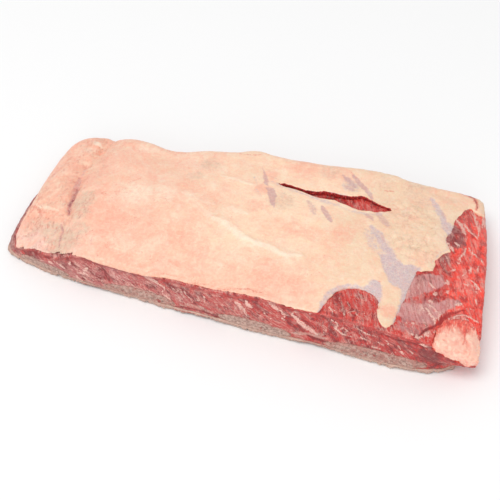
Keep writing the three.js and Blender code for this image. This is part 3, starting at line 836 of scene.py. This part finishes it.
leanStrands = [  # fatty strands on the top: path, width, strength
    ([(121, -46), (124, -49), (127, -52), (128, -57)], 1.3, 1),
    ([(122, -43), (126, -45), (130, -48), (130, -53)], 1.2, 0.9), ([(121, -56), (125, -62)], 1.1, 0.8),
    ([(117, -45), (120, -48)], 1, 0.7), ([(120, -26), (124, -29)], 1.6, 0.8),
    ([(138, -37), (141, -35)], 2, 0.8), ([(134, 3), (135, 0)], 1.4, 0.8),
    ([(136, 13), (136, 7), (134, 1)], 1.3, 0.8), ([(141, 12), (144, 8)], 1.2, 0.8),
    ([(142, -3), (142, -9)], 1.2, 0.7), ([(146, 0), (147, -5)], 1.2, 0.7), ([(147, 9), (149, 3)], 1.2, 0.7),
    ([(143, -14), (147, -16), (150, -20)], 1.3, 0.9), ([(145, -15), (149, -23)], 1, 0.7),
    ([(148, -27), (149, -31)], 1.2, 0.7), ([(139, -18), (145, -18)], 1, 0.6),
    ([(130, -19), (131, -23)], 1.6, 0.8), ([(131, -10), (133, -7)], 1.6, 0.8),
    ([(124, 13), (128, 10), (129, 7)], 1.8, 0.8), ([(127, 39), (130, 36), (134, 27)], 2.2, 1),
    ([(129, 38), (133, 37), (137, 31), (140, 31)], 1.9, 0.9),
    ([(134, 54), (138, 48), (142, 37), (143, 29)], 1.3, 0.8), ([(136, 54), (141, 46)], 1.2, 0.8),
    ([(140, 30), (143, 26)], 1.4, 0.8), ([(143, 55), (144, 50), (144, 41)], 1.4, 0.8),
    ([(141, 46), (143, 38)], 1.1, 0.7), ([(138, 15), (140, 10)], 1.2, 0.7),
    ([(129, 16), (132, 13)], 1.4, 0.8), ([(143, 61), (144, 55), (146, 44)], 1.8, 0.7),
    ([(124, 2), (127, -1)], 1.3, 0.7), ([(140, -8), (137, -13)], 1, 0.6),
    ([(132, -58), (136, -49), (142, -43), (148, -42), (152, -44)], 1.5, 0.75),
    ([(134, -54), (139, -47), (146, -45), (152, -49)], 1.1, 0.6),
    ([(137, -33), (143, -37), (149, -36)], 1, 0.5), ([(70, -52), (71, -56), (74, -60), (73, -66)], 0.8, 0.3),
    ([(75, -53), (76, -56), (79, -60), (78, -68)], 0.7, 0.35),
    ([(80, -52), (82, -55), (81, -60), (84, -67)], 0.8, 0.35),
    ([(85, -55), (86, -59), (88, -62), (87, -69)], 0.7, 0.35), ([(66, -58), (67, -63), (70, -68)], 1, 0.6),
    ([(73, -64), (77, -67), (77, -71)], 0.9, 0.4), ([(82, -62), (78, -65)], 1, 0.5),
    ([(68, -64), (72, -66)], 0.9, 0.6), ([(83, -65), (87, -67)], 0.9, 0.5),
    ([(112, -58), (113, -66)], 0.9, 0.5), ([(116, -60), (118, -69)], 0.9, 0.5),
]
leanLumps = [  # fatty knobs on the top: centre, radius, strength
    ((123, -40), 2.2, 0.9), ((124.5, -33), 2.2, 0.9), ((130, -22), 2, 0.8), ((131, -29), 2, 0.7),
    ((116, -61), 1.6, 0.7), ((117, -70), 1.8, 0.9), ((132, -63), 4.2, 1), ((125, -67), 3.2, 0.9),
    ((121, -70), 2.6, 0.9), ((134, -2), 1.6, 0.6), ((139, 40), 1.6, 0.5), ((128, -52), 1.5, 0.6),
]
leanCreases = [  # creases on the top, dark red with painted shade: path, width, strength, depth
    ([(121, -69), (125, -62), (128, -58), (131, -54), (132, -50), (135, -45), (141, -40),
       (144, -38)], 1.8, 1, 0.8),
    ([(113, -42), (119, -39), (124, -35), (128, -31), (132, -31), (137, -33)], 2.2, 0.5, 0.3),
    ([(126, -62), (132, -57), (137, -52), (143, -49)], 2, 0.5, 0.2),
    ([(133, -50), (139, -44), (147, -40)], 1.4, 0.5, 0.2),
    ([(130, 42), (133, 30), (134, 18)], 2.2, 0.35, 0.3), ([(138, 46), (140, 34), (139, 20)], 2, 0.35, 0.3),
    ([(66, -66), (74, -69), (84, -70), (92, -68)], 2, 0.5, 0.2), ([(92, -60), (93, -66)], 1.4, 0.7, 0.3),
    ([(119, -60), (122, -58), (124, -60), (122, -63), (119, -62)], 1, 0.7, 0.2),
]
frontFat = [  # fatty marbling on the front face, seen from the front: path, width, strength
    ([(-130, 14), (-127.5, 14)], 2, 0.9), ([(-127, 10), (-124, 11), (-121, 12)], 1.7, 0.9),
    ([(-117, 13), (-114, 13)], 1.8, 0.9), ([(-116, 9), (-114, 9)], 1.6, 0.7),
    ([(-109, 14.5), (-105.5, 11.5)], 2.8, 0.9), ([(-100, 20), (-101, 17)], 2, 0.8),
    ([(-91, 15), (-88, 18)], 2.2, 0.9), ([(-96, 11), (-94, 12), (-90, 13), (-88, 11)], 1.5, 0.8),
    ([(-97, 9), (-97, 6), (-94, 3.5)], 1.8, 0.8), ([(-92, 9), (-89, 6)], 1.8, 0.7),
    ([(-113, 16), (-110, 15)], 1.2, 0.6), ([(-84.5, 23), (-83.5, 22)], 1.2, 0.7),
    ([(-87, 20.5), (-86, 19)], 1.2, 0.7), ([(-71, 23), (-71, 21)], 1, 0.6),
    ([(-50, 24), (-43, 22), (-39, 19.5)], 2.2, 0.95), ([(-40, 20), (-36, 18), (-36, 15.5)], 1.4, 0.9),
    ([(-37, 16), (-38, 13), (-35, 11), (-32, 8.5)], 1.2, 0.8), ([(-60, 15), (-56, 12)], 1, 0.5),
    ([(-29, 15), (-24, 10)], 1, 0.6), ([(-21, 17), (-17, 12)], 1, 0.6), ([(-23, 20), (-21, 17)], 1, 0.6),
    ([(-14, 15), (-13, 18)], 2.4, 0.7), ([(-9, 22), (-9, 12)], 1.4, 0.6), ([(-2, 17), (1, 13)], 1.3, 0.6),
    ([(11, 24), (14, 22), (14, 19)], 2.4, 0.9), ([(18, 27), (18.5, 24), (22, 23.5)], 2.5, 1),
    ([(17, 21), (18, 13)], 1.4, 0.7), ([(15, 22), (18, 20)], 1.2, 0.6), ([(23, 31.5), (31, 31)], 1, 0.6),
    ([(32, 30), (35, 28), (38, 25.5)], 1.9, 0.9), ([(39, 26), (41, 24), (44, 23)], 1.3, 0.7),
    ([(46, 24), (47.5, 27), (50, 27)], 1.1, 0.8), ([(46.5, 24), (51, 20), (55, 17.5)], 1.9, 0.95),
    ([(51, 19), (57, 15.5), (62, 13)], 2.4, 0.9), ([(42, 22), (41, 20), (43, 18)], 1, 0.7),
    ([(61, 23), (65, 20), (67, 16)], 1.3, 0.4),
    ([(70, 28), (74, 27), (73, 22), (78, 18), (83, 18)], 1.3, 0.8),
    ([(67, 20), (67, 14), (64, 12)], 1.5, 0.4), ([(56, 28.5), (57.5, 28)], 1.9, 0.9),
    ([(62.5, 29), (63.5, 29)], 1.8, 0.9), ([(57, 25.5), (57, 24.5)], 1.5, 0.8),
    ([(76, 22), (78, 24), (80.5, 22), (79, 20)], 1.1, 0.7), ([(110, 22), (112, 17)], 1.1, 0.8),
    ([(112, 16), (114, 14)], 1.3, 0.8), ([(117, 19), (120, 16)], 1.3, 0.9),
    ([(122.5, 27), (126, 26)], 1.6, 0.8), ([(131, 18), (132, 20)], 1.6, 0.9),
    ([(107, 12), (109, 13)], 1.2, 0.7), ([(103, 23), (105, 19)], 1.2, 0.7), ([(88, 19), (94, 18)], 1.3, 0.8),
    ([(98, 20), (102, 18)], 1.2, 0.7), ([(84, 27), (92, 24), (98, 24)], 1, 0.7),
    ([(95, 15), (101, 14)], 1.4, 0.7), ([(124, 19), (129, 15)], 1.1, 0.6), ([(-68, 19), (-62, 14)], 1, 0.4),
    ([(-52, 14), (-46, 11)], 1, 0.4), ([(25, 20), (33, 14)], 1, 0.5), ([(28, 22), (38, 15)], 1, 0.5),
    ([(3, 18), (8, 12)], 1, 0.4), ([(-32, 20), (-26, 18)], 1.1, 0.5),
]
frontRed = [  # redder places on the front face: centre, radius, strength
    ((-32, 23), 11, 1), ((-20, 24), 10, 0.8), ((20, 28), 13, 1), ((-5, 16), 10, 0.7), ((45, 20), 10, 0.8),
    ((90, 22), 12, 0.8),
]
frontDull = [  # duller places on it
    ((-70, 20), 12, 0.7), ((-92, 14), 8, 0.4), ((-28, 12), 9, 0.4), ((4, 12), 8, 0.3),
]
frontDark = [  # places on it with dark pits, painted darker: partly darker meat, partly painted shade
    ((-130, 13), 14, 0.75), ((-105, 17), 8, 0.4), ((-74, 17), 8, 0.3), ((129, 17), 12, 0.9),
    ((117, 21), 9, 0.5), ((141, 17), 8, 0.6),
]
frontTan = [  # tan sinew on it: path, width, strength
    ([(-26, 7), (-17, 9), (-11, 9), (-4, 7.5)], 2.6, 0.8), ([(-11, 5), (-2, 3)], 1.8, 0.7),
    ([(47, 9), (57, 11), (68, 11)], 2.8, 0.95), ([(60, 12), (66, 14)], 2.6, 0.8),
    ([(-100, 7), (-92, 5), (-86, 6)], 3, 0.5), ([(128, 11), (140, 14)], 2.4, 0.5),
    ([(-82, 9), (-74, 9)], 2.2, 0.5), ([(-58, 9), (-44, 10)], 1.6, 0.3), ([(10, 10), (20, 13)], 1.8, 0.4),
]
frontDeep = [  # hollows on it, dark with darker meat and painted shade: path, width, strength, depth
    ([(-138, 10), (-136, 9)], 1.8, 0.9, 0.5), ([(-133.5, 12), (-131, 10)], 2, 0.9, 0.5),
    ([(-129, 17), (-126, 15)], 2, 0.9, 0.5), ([(-132, 9), (-130, 8)], 1.8, 0.8, 0.4),
    ([(-120, 16), (-116, 16)], 1.7, 0.8, 0.4), ([(-104, 21), (-101, 20)], 2.3, 0.8, 0.4),
    ([(-94, 6), (-92, 6)], 1.9, 1, 0.6), ([(-77, 19), (-75, 15), (-74, 12)], 2.8, 0.85, 0.4),
    ([(-112, 19), (-109, 18)], 1.6, 0.5, 0.3), ([(-7, 14), (-3, 13)], 3.2, 0.45, 0.1),
    ([(-30, 4.5), (-25, 6), (-12, 6), (-6, 6), (-2, 5), (7, 3), (10, 2.4)], 1, 0.9, 0.4),
    ([(12, 29), (19, 31), (26, 30.6)], 1.8, 0.8, 0.5), ([(43, 22), (46, 17), (48.5, 12)], 3, 0.6, 0.1),
    ([(50, 17), (54, 12.5)], 3, 0.75, 0.1), ([(56, 9), (62, 8), (68, 7), (72, 7)], 2.2, 1, 0.7),
    ([(64, 28), (67, 27)], 1.8, 0.8, 0.4), ([(75, 28.5), (77, 28)], 1.8, 0.7, 0.4),
    ([(100, 27), (108, 26), (114, 25.6), (120, 25.4), (127, 24)], 1.5, 0.9, 0.7),
    ([(129, 13), (128, 9)], 2.2, 0.8, 0.3), ([(132, 22), (134, 20)], 2, 0.7, 0.3),
    ([(125, 13.5), (127, 12)], 2.2, 0.7, 0.3), ([(84, 22), (90, 20), (100, 16)], 1.8, 0.5, 0.3),
    ([(104, 22), (112, 19), (122, 14)], 1.6, 0.5, 0.3), ([(22, 26), (28, 22)], 2.4, 0.5, 0.2),
    ([(60, 20), (64, 15)], 1.6, 0.5, 0.2), ([(-60, 21), (-52, 18), (-46, 14)], 2.6, 0.35, 0.1),
    ([(-30, 22), (-20, 20)], 2.2, 0.4, 0.1), ([(-46, 18), (-40, 12)], 2, 0.35, 0.1),
    ([(88, 29), (95, 27), (100, 26.4)], 1.2, 0.6, 0.4),
]


def roofed(piece):  # 1 where the fat lies over the meat
    tree = solidTrees(["fat_cap"])[0]
    found = np.zeros(len(piece.data.vertices))
    for index, vertex in enumerate(piece.data.vertices):
        if vertex.normal.z > 0.3 and tree.ray_cast(vertex.co, (0, 0, 1), lean["roof"] * mm)[0] is not None:
            found[index] = 1
    return smooth(spread(piece, found, 9), 0.85, 1)


def grainOf(points, up):  # places measured across, through and along the fibres
    x = points[:, 0]
    spot = points + 2.5 * np.stack([lumps(points, 25, seed) for seed in (51, 52, 53)], axis=1)
    side = smooth(x, 60, 66) * fall(x, 94, 100)
    shares = {"topGrain": up, "frontGrain": (1 - up) * (1 - side), "steepGrain": (1 - up) * side}
    result = np.zeros((len(points), 3))
    for name, share in shares.items():
        way = np.array(lean[name])
        way = way / np.linalg.norm(way)
        across = np.cross(way, (0.3, 0.5, 0.8))
        across /= np.linalg.norm(across)
        through = np.cross(way, across)
        result += share[:, None] * np.stack([spot @ across, spot @ through, spot @ way], axis=1)
    return result


def shapeLean():
    others = ["fat_cap", "bone_side_skin", "corner_fat"] + ribNodes
    piece, _ = softCopy("lean_meat", "leanMeat", lean, others)
    points, normals = surfaceOf(piece)
    x = points[:, 0]
    front, up = facing(normals, 0, -1, 0), facing(normals, 0, 0, 1)
    wobble = 0.9 * sway(points, 4, 31, 32)
    flat = points[:, :2] - marksFrom + wobble
    upright = points[:, [0, 2]] - (marksFrom[0], 0) + wobble
    lift = swells(points, lean["relief"])
    brow = front * nearTo(points, ["fat_cap"], lean["eaves"], front > 0.1)  # 1 right under the fat, where the front face gets painted shade
    # painted shade right under the fat, with the darker places of the front
    deep = np.maximum(front * dabbed(upright, frontDark), 0.62 * smooth(brow, 0.6, 0.95))
    # creases and hollows are sunk and painted dark: darker meat and painted shade
    for marks, spots, side in ((leanCreases, flat, up), (frontDeep, upright, front)):
        for line, width, strength, depth in marks:
            deep = np.maximum(deep, strength * side * stroke(spots, line, width))
            lift -= depth * side * stroke(spots, line, width * 1.3)
    pale = np.maximum(drawn(flat, leanStrands), dabbed(flat, leanLumps)) * up
    pale = np.maximum(pale, drawn(upright, frontFat) * front)
    lift += 0.35 * pale
    seat = smooth(nearRibs(points, lean["gristle"]) + 0.5 * roughness(points, 2.5, 45), 0.5, 1)
    grain = grainOf(points, up)
    lift += 0.14 * lumps(grain * (1, 1, 0.12), 1.6, 41) + 0.3 * lumps(grain * (1, 1, 0.2), 4.5, 42)
    layer = piece.data.attributes.new("grain", "FLOAT_VECTOR", "POINT")
    layer.data.foreach_set("vector", grain.astype(np.float32).ravel())
    points[:, 2] -= lean["under"] * roofed(piece)
    movePoints(piece, points + normals * lift[:, None])
    redder = np.maximum(smooth(x, *lean["redSlow"]) * 0.5, smooth(x, *lean["redFast"]) * 0.66)
    # redder places on the front, and a redder tone right under the fat as part of its painted shade
    redder = redder + 0.24 * front * dabbed(upright, frontRed) + 0.22 * smooth(brow, 0.1, 0.7)
    redder = np.minimum(redder + 0.3 * fall(x, *lean["leftRed"]), 0.66)
    cutEnd = smooth(x + 5 * roughness(points, 12, 46), *lean["cutEnd"]) * (1 - 0.5 * front)
    leftEnd = 0.9 * facing(normals, -1, 0, 0.3) * fall(x, -150, -135)
    paint(
        piece,
        fresh=np.maximum(redder + 0.12 * up, cutEnd),
        silver=np.maximum(filled(flat, leanFilms, 1.4) * up, 0.7 * dabbed(upright, frontDull) * front),
        brown=np.maximum(filled(flat, leanBrowns, 2.4) * up, leftEnd),
        sinew=np.maximum(seat, drawn(upright, frontTan) * front),
        fatty=pale, deep=deep,
    )
    return piece


def leanFinish():
    f = Finish("rawLean", lean["dull"], Roughness=0.4, Subsurface_Weight=0.08, Subsurface_Scale=0.002,
               Subsurface_Radius=(1, 0.25, 0.2))
    fresh, grain = f.mark("fresh"), f.mark("grain", "Vector")

    def along(size, detail, length, rough, twist=0.0):  # a noise drawn out along the fibres
        return f.noise(size, detail, f.stretched(grain, (1, 1, length)), rough, twist)

    fibres, strings = along(0.7, 4, 0.1, 0.65), along(1.4, 4, 0.09, 0.6, 0.2)
    bundles, flecks = along(4.2, 5, 0.45, 0.65, 0.6), along(1.2, 5, 0.38, 0.7, 0.4)
    grit = f.noise(0.8, 4, rough=0.7)
    # its ground: dull to the left, bright where it was cut last
    f.tint(lean["red"], 1, 0, 0.5, fresh)
    f.tint(lean["ripe"], 1, 0.5, 0.64, fresh)
    f.tint(lean["bright"], 1, 0.66, 1, fresh)
    f.tint(lean["red"], 0.5, 0.48, 0.62, f.noise(8, 4))
    sheen = f.times(f.ramp(strings, 0.52, 0.64, 0, 0.4), f.ramp(fresh, 0.5, 0.7, 1, 0.75))
    f.lay(sheen, lean["rosy"])
    shadow = f.mix(f.ramp(fresh, 0.68, 1), lean["deep"], lean["crimson"])
    f.tint(shadow, 0.9, 0.49, 0.6, bundles)
    f.tint(shadow, 0.4, 0.5, 0.62, fibres)
    # film, browner places and sinew
    uneven = f.plus(f.swing(strings, 1.6), f.swing(f.noise(4, 4), 1.2))
    silver = f.mix(f.ramp(strings, 0.42, 0.6), lean["silver"], lean["veiled"])
    f.tint(silver, 0.85, 0.2, 0.95, f.plus(f.mark("silver"), uneven))
    brown = f.mix(f.ramp(strings, 0.45, 0.58), lean["deep"], lean["mauve"])
    f.tint(brown, 0.95, 0.2, 1.1, f.plus(f.mark("brown"), f.times(uneven, 1.4)))
    f.lay(f.times(f.ramp(f.frayed("sinew", (flecks, 2.2)), 0.25, 1.1), 0.8), lean["tan"])
    # marbling, from the widest branches to specks
    branches = f.threads(along(5, 5, 0.2, 0.6, 0.9), 0.05)
    branches = f.times(branches, f.ramp(f.noise(9, 3), 0.42, 0.6))
    hairs = f.threads(along(2.4, 5, 0.2, 0.65, 0.6), 0.06)
    hairs = f.times(hairs, f.ramp(f.noise(4.5, 3), 0.42, 0.62, 0, 0.7))
    specks = f.ramp(f.plus(flecks, f.swing(grit, 0.7)), 0.54, 0.65, 0, 0.9)
    specks = f.times(specks, f.ramp(fresh, 0.5, 0.62, 1, 0.4))
    marbling = f.combine("MAXIMUM", f.combine("MAXIMUM", branches, hairs), specks)
    marbling = f.times(marbling, f.ramp(fresh, 0.5, 0.62, 1, 0.75))
    fatty = f.ramp(f.frayed("fatty", (flecks, 2.8), (grit, 1.8)), 0.25, 0.75)
    pale = f.combine("MAXIMUM", f.times(marbling, 0.75), fatty)
    f.lay(f.times(pale, 0.85), f.mix(f.ramp(grit, 0.4, 0.56), lean["rosy"], lean["marble"]))
    # the deep mark: darker meat, with painted shade in creases and hollows and right under the fat
    darkRedAndShade = f.mix(f.ramp(fresh, 0.7, 1, 0, 0.6), lean["deep"], lean["crimson"])
    f.tint(darkRedAndShade, 0.85, 0.3, 0.95, f.frayed("deep", (flecks, 2.4), (grit, 1)))
    gloss = f.ramp(f.noise(1.6, 3), 0.3, 0.7, 0.24, 0.5)
    return f.finish(gloss, f.total((fibres, 0.6), (flecks, 0.6), (grit, 0.4), (pale, 0.3)), 0.55, 0.5)


finishPiece(shapeLean(), "lean", leanFinish(), "lean_meat")


# the corner fat
cornerFat = {
    "voxel": 0.55,
    "rounds": 30,
    "reach": 3,
    "hold": 0.15,
    "keep": 0.15,
    "relief": [(9, 0.5, 61), (4, 0.3, 62), (1.6, 0.1, 63)],
    **shades(
        pale=(251, 194, 172), rosy=(236, 132, 112), red=(240, 100, 84), deep=(206, 74, 64),
    ),
}
cornerOutline = [  # the pale part of its top
    (130.5, -65), (130.5, -77), (139, -79), (160, -77), (158, -60), (155, -55), (152, -53), (149, -52),
    (147.5, -60), (146, -64), (143, -55), (140, -56), (137, -60), (133, -60),
]
cornerRosy = [  # rosier lines on it, from above: path, width, strength
    ([(148, -61), (149, -65)], 2.4, 0.9), ([(144, -71), (148, -70)], 1.2, 0.7),
    ([(145, -68), (146, -64), (148, -60)], 1, 0.5), ([(150, -71), (151, -67)], 1.2, 0.6),
    ([(135, -67), (137.5, -67)], 1.8, 1), ([(143, -52), (143, -57)], 1.4, 0.9),
    ([(139, -56), (140.5, -60)], 1.4, 0.9), ([(147, -51), (147, -55)], 1.3, 0.8),
    ([(151, -55), (150, -59)], 1.1, 0.6), ([(135, -62), (137, -65)], 1.3, 0.7),
]


def shapeCornerFat():
    piece, edges = softCopy("corner_fat", "cornerFat", cornerFat, ["lean_meat"])
    points, normals = surfaceOf(piece)
    flat = points[:, :2] - marksFrom + 1.5 * sway(points, 4, 65, 66)
    rosy = drawn(flat, cornerRosy)
    lift = swells(points, cornerFat["relief"]) - 0.35 * rosy
    ragged = 1.3 * sway(points, 3.2, 67, 68, 69) * fall(edgeGap(piece, edges), 0.5, 3)[:, None]
    movePoints(piece, points + normals * lift[:, None] + ragged)
    below = smooth(-normals[:, 2], 0.2, 0.6) + 0.25 * smooth(-normals[:, 0], 0.4, 0.8)
    paint(piece, streaky=np.maximum(1 - patch(flat, cornerOutline, 3.4), below), rosy=rosy)
    return piece


def cornerFatFinish():
    f = Finish("cornerFat", cornerFat["pale"], Roughness=0.45, **fatGlow)
    streaks = f.noise(1.3, 4, f.stretched(f.place, (1, 0.2, 0.3)), twist=0.5)
    small = f.noise(2.2, 4)
    f.tint(cornerFat["rosy"], 0.5, 0.44, 0.68, f.noise(6, 5, twist=0.6))
    f.tint(fat["highlight"], 0.35, 0.48, 0.68, f.noise(3, 3, twist=0.6))
    f.lay(f.times(f.ramp(f.frayed("rosy", (small, 1.6)), 0.2, 1.2), 0.55), cornerFat["rosy"])
    meat = f.mix(f.ramp(small, 0.4, 0.65), cornerFat["red"], cornerFat["deep"])
    meat = f.mix(f.ramp(streaks, 0.55, 0.7, 0, 0.6), meat, cornerFat["pale"])
    f.tint(meat, 1, 0.15, 1, f.frayed("streaky", (streaks, 2.2)))
    gloss = f.ramp(f.noise(3), 0.3, 0.7, 0.32, 0.48)
    return f.finish(gloss, f.total((f.noise(1.3, 3), 1), (streaks, 0.5)), 0.4, 0.4)


finishPiece(shapeCornerFat(), "corner_fat", cornerFatFinish(), "corner_fat")


# the rib bones
bone = {
    "voxel": 0.7,
    "rounds": 12,
    "reach": 3,
    "keep": 0.15,
    **shades(
        marrow=(156, 124, 113), rim=(203, 174, 160), ruddy=(176, 104, 94), pore=(104, 68, 64),
        blood=(158, 52, 48),
    ),
    "tones": {"rib_1": 0.3, "rib_2": 0.75, "rib_3": 0.08, "rib_4": 0.75},  # how ruddy each one is
}


def shapeRib(node, name, seed):
    piece, edges = softCopy(node, name, bone, ["lean_meat", "bone_side_skin"])
    points, normals = surfaceOf(piece)
    away = edgeGap(piece, edges)
    sawn = smooth(np.abs(normals[:, 1]), 0.5, 0.8)
    lift = swells(points, [(1.6, 0.15, seed), (5, 0.35, seed + 1)]) * sawn
    ragged = smooth(np.abs(points[:, 1]), 50, 60) * fall(away, 0.5, 1.5)
    points += normals * lift[:, None]
    points[:, 2] += 0.55 * roughness(points * (1, 0, 1), 2.6, seed + 2) * ragged
    movePoints(piece, points)
    paint(
        piece,
        ruddy=bone["tones"][node] + 0.5 * roughness(points, 7, seed + 4),
        rim=fall(away, 0.3, 2.2) * (0.5 + 0.5 * roughness(points, 3, seed + 3)),
    )
    return piece


def boneFinish():
    f = Finish("sawnBone", bone["marrow"], Roughness=0.6)
    f.tint(bone["rim"], 1, 0.42, 0.58, f.noise(1.8, 5, rough=0.7))
    f.lay(f.times(f.mark("rim"), 0.6), lean["tan"])
    ruddy = f.times(f.mark("ruddy"), f.ramp(f.noise(2.5, 5, rough=0.7), 0.42, 0.6, 0.1, 0.9))
    f.lay(f.times(ruddy, 0.75), bone["ruddy"])
    holes = f.times(f.ramp(f.cells(1), 0.1, 0.34, 1, 0), f.ramp(f.noise(3, 2), 0.35, 0.6))
    f.lay(f.times(holes, 0.75), bone["pore"])
    f.tint(bone["pore"], 0.7, 0.58, 0.66, f.noise(1.5, 4, twist=0.5))
    f.tint(bone["blood"], 0.8, 0.62, 0.7, f.noise(3, 4, twist=0.5))
    return f.finish(None, f.total((f.noise(0.9, 3), 1), (holes, -0.8)), 0.6, 0.4)


ribFinish = boneFinish()
for number, node in enumerate(ribNodes, 1):
    finishPiece(shapeRib(node, f"ribBone{number}", 70 + 10 * number), "bone", ribFinish, node)


# the skin on the bone side
skin = {
    "voxel": 0.9,
    "rounds": 20,
    "reach": 5,
    "keep": 0.05,
    **shades(
        tan=(214, 182, 164), grey=(198, 166, 150), pink=(208, 152, 140), red=(172, 76, 70),
        through=(184, 112, 102), sawn=(182, 146, 134),
    ),
    "crumbs": 150,  # how many sawn crumbs sit in its edges
    "crumbRadius": (0.35, 0.75),
    "teeth": 1.9,  # how high its torn lower edge reaches
    "flesh": [(-100, -77), (-32, -4), (52, 74)],  # where meat reaches down over the front of it: from, to
}


def shapeSkin():
    piece, edges = softCopy("bone_side_skin", "boneSideSkin", skin, ["lean_meat"] + ribNodes)
    points, normals = surfaceOf(piece)
    side = fall(np.abs(normals[:, 2]), 0.4, 0.8)
    below = smooth(-normals[:, 2], 0.5, 0.9)
    between = below * fall(nearRibs(points, 7), 0.05, 0.75)
    lift = side * (1.1 * roughness(points, 2.8, 81) + 0.4 * lumps(points, 8, 82))
    lift -= 0.12 * below * (1 + roughness(points * (1, 0.5, 1), 6, 83)) + 0.5 * between
    points = points + normals * lift[:, None]
    x, z = points[:, 0], points[:, 2]
    ragged = fall(edgeGap(piece, edges), 0.6, 3) * fall(z, 0.8, 2.2)
    points[:, 2] += skin["teeth"] * ragged * smooth(roughness(points * (1, 0, 0), 2.6, 85), -0.1, 0.5)
    movePoints(piece, points)
    flesh = smooth(between + 0.5 * roughness(points * (1, 0.4, 1), 9, 84), 0.2, 1.1)
    for start, end in skin["flesh"]:
        band = smooth(x, start - 3, start + 3) * fall(x, end - 3, end + 3)
        flesh = np.maximum(flesh, 0.8 * band * side * smooth(z, 0.6, 2.4))
    paint(piece, flesh=flesh, side=side)
    addCrumbs(piece, skin["crumbs"])
    return piece


def addCrumbs(piece, count):  # sawn crumbs sunk into its front and back edges
    points, normals = surfaceOf(piece)
    places = np.flatnonzero((np.abs(normals[:, 1]) > 0.7) & (points[:, 2] < 2.6) & (points[:, 2] > 0.8))
    chance = np.random.default_rng(8)
    bm = bmesh.new()
    bm.from_mesh(piece.data)
    for index in chance.choice(places, count, replace=False):
        radius = chance.uniform(*skin["crumbRadius"])
        centre = points[index] - 0.2 * radius * normals[index]
        made = bmesh.ops.create_icosphere(bm, subdivisions=1, radius=radius * mm)["verts"]
        for vertex in made:
            vertex.co = vertex.co * chance.uniform(0.75, 1.2) + Vector(centre * mm)
    bm.to_mesh(piece.data)
    bm.free()


def skinFinish():
    f = Finish("boneSideSkin", skin["tan"], Roughness=0.5, Subsurface_Weight=0.05, Subsurface_Scale=0.002)
    streaks = f.noise(2.4, 4, f.stretched(f.place, (1, 0.2, 1)), twist=0.4)
    grit = f.noise(1, 3)
    f.tint(skin["grey"], 1, 0.35, 0.65, f.noise(5, 4))
    f.tint(skin["pink"], 0.6, 0.45, 0.7, streaks)
    sawn = f.ramp(f.noise(1.6, 4, rough=0.7), 0.4, 0.56, 0.3, 1)
    f.lay(f.times(f.mark("side"), sawn), skin["sawn"])
    patches = f.noise(1.6, 4, f.stretched(f.place, (1, 0.15, 1)), rough=0.65)
    fleshy = f.ramp(f.frayed("flesh", (streaks, 1.2)), 0.4, 0.9)
    fleshy = f.times(fleshy, f.ramp(patches, 0.35, 0.6, 0.5, 0.9))
    f.lay(fleshy, f.mix(f.mark("side"), skin["through"], skin["red"]))
    f.tint(skin["red"], 0.4, 0.6, 0.8, grit)
    return f.finish(f.ramp(streaks, 0.3, 0.7, 0.35, 0.6), f.plus(grit, streaks), 0.6, 0.5)


finishPiece(shapeSkin(), "skin", skinFinish(), "bone_side_skin")


print("slab finished")
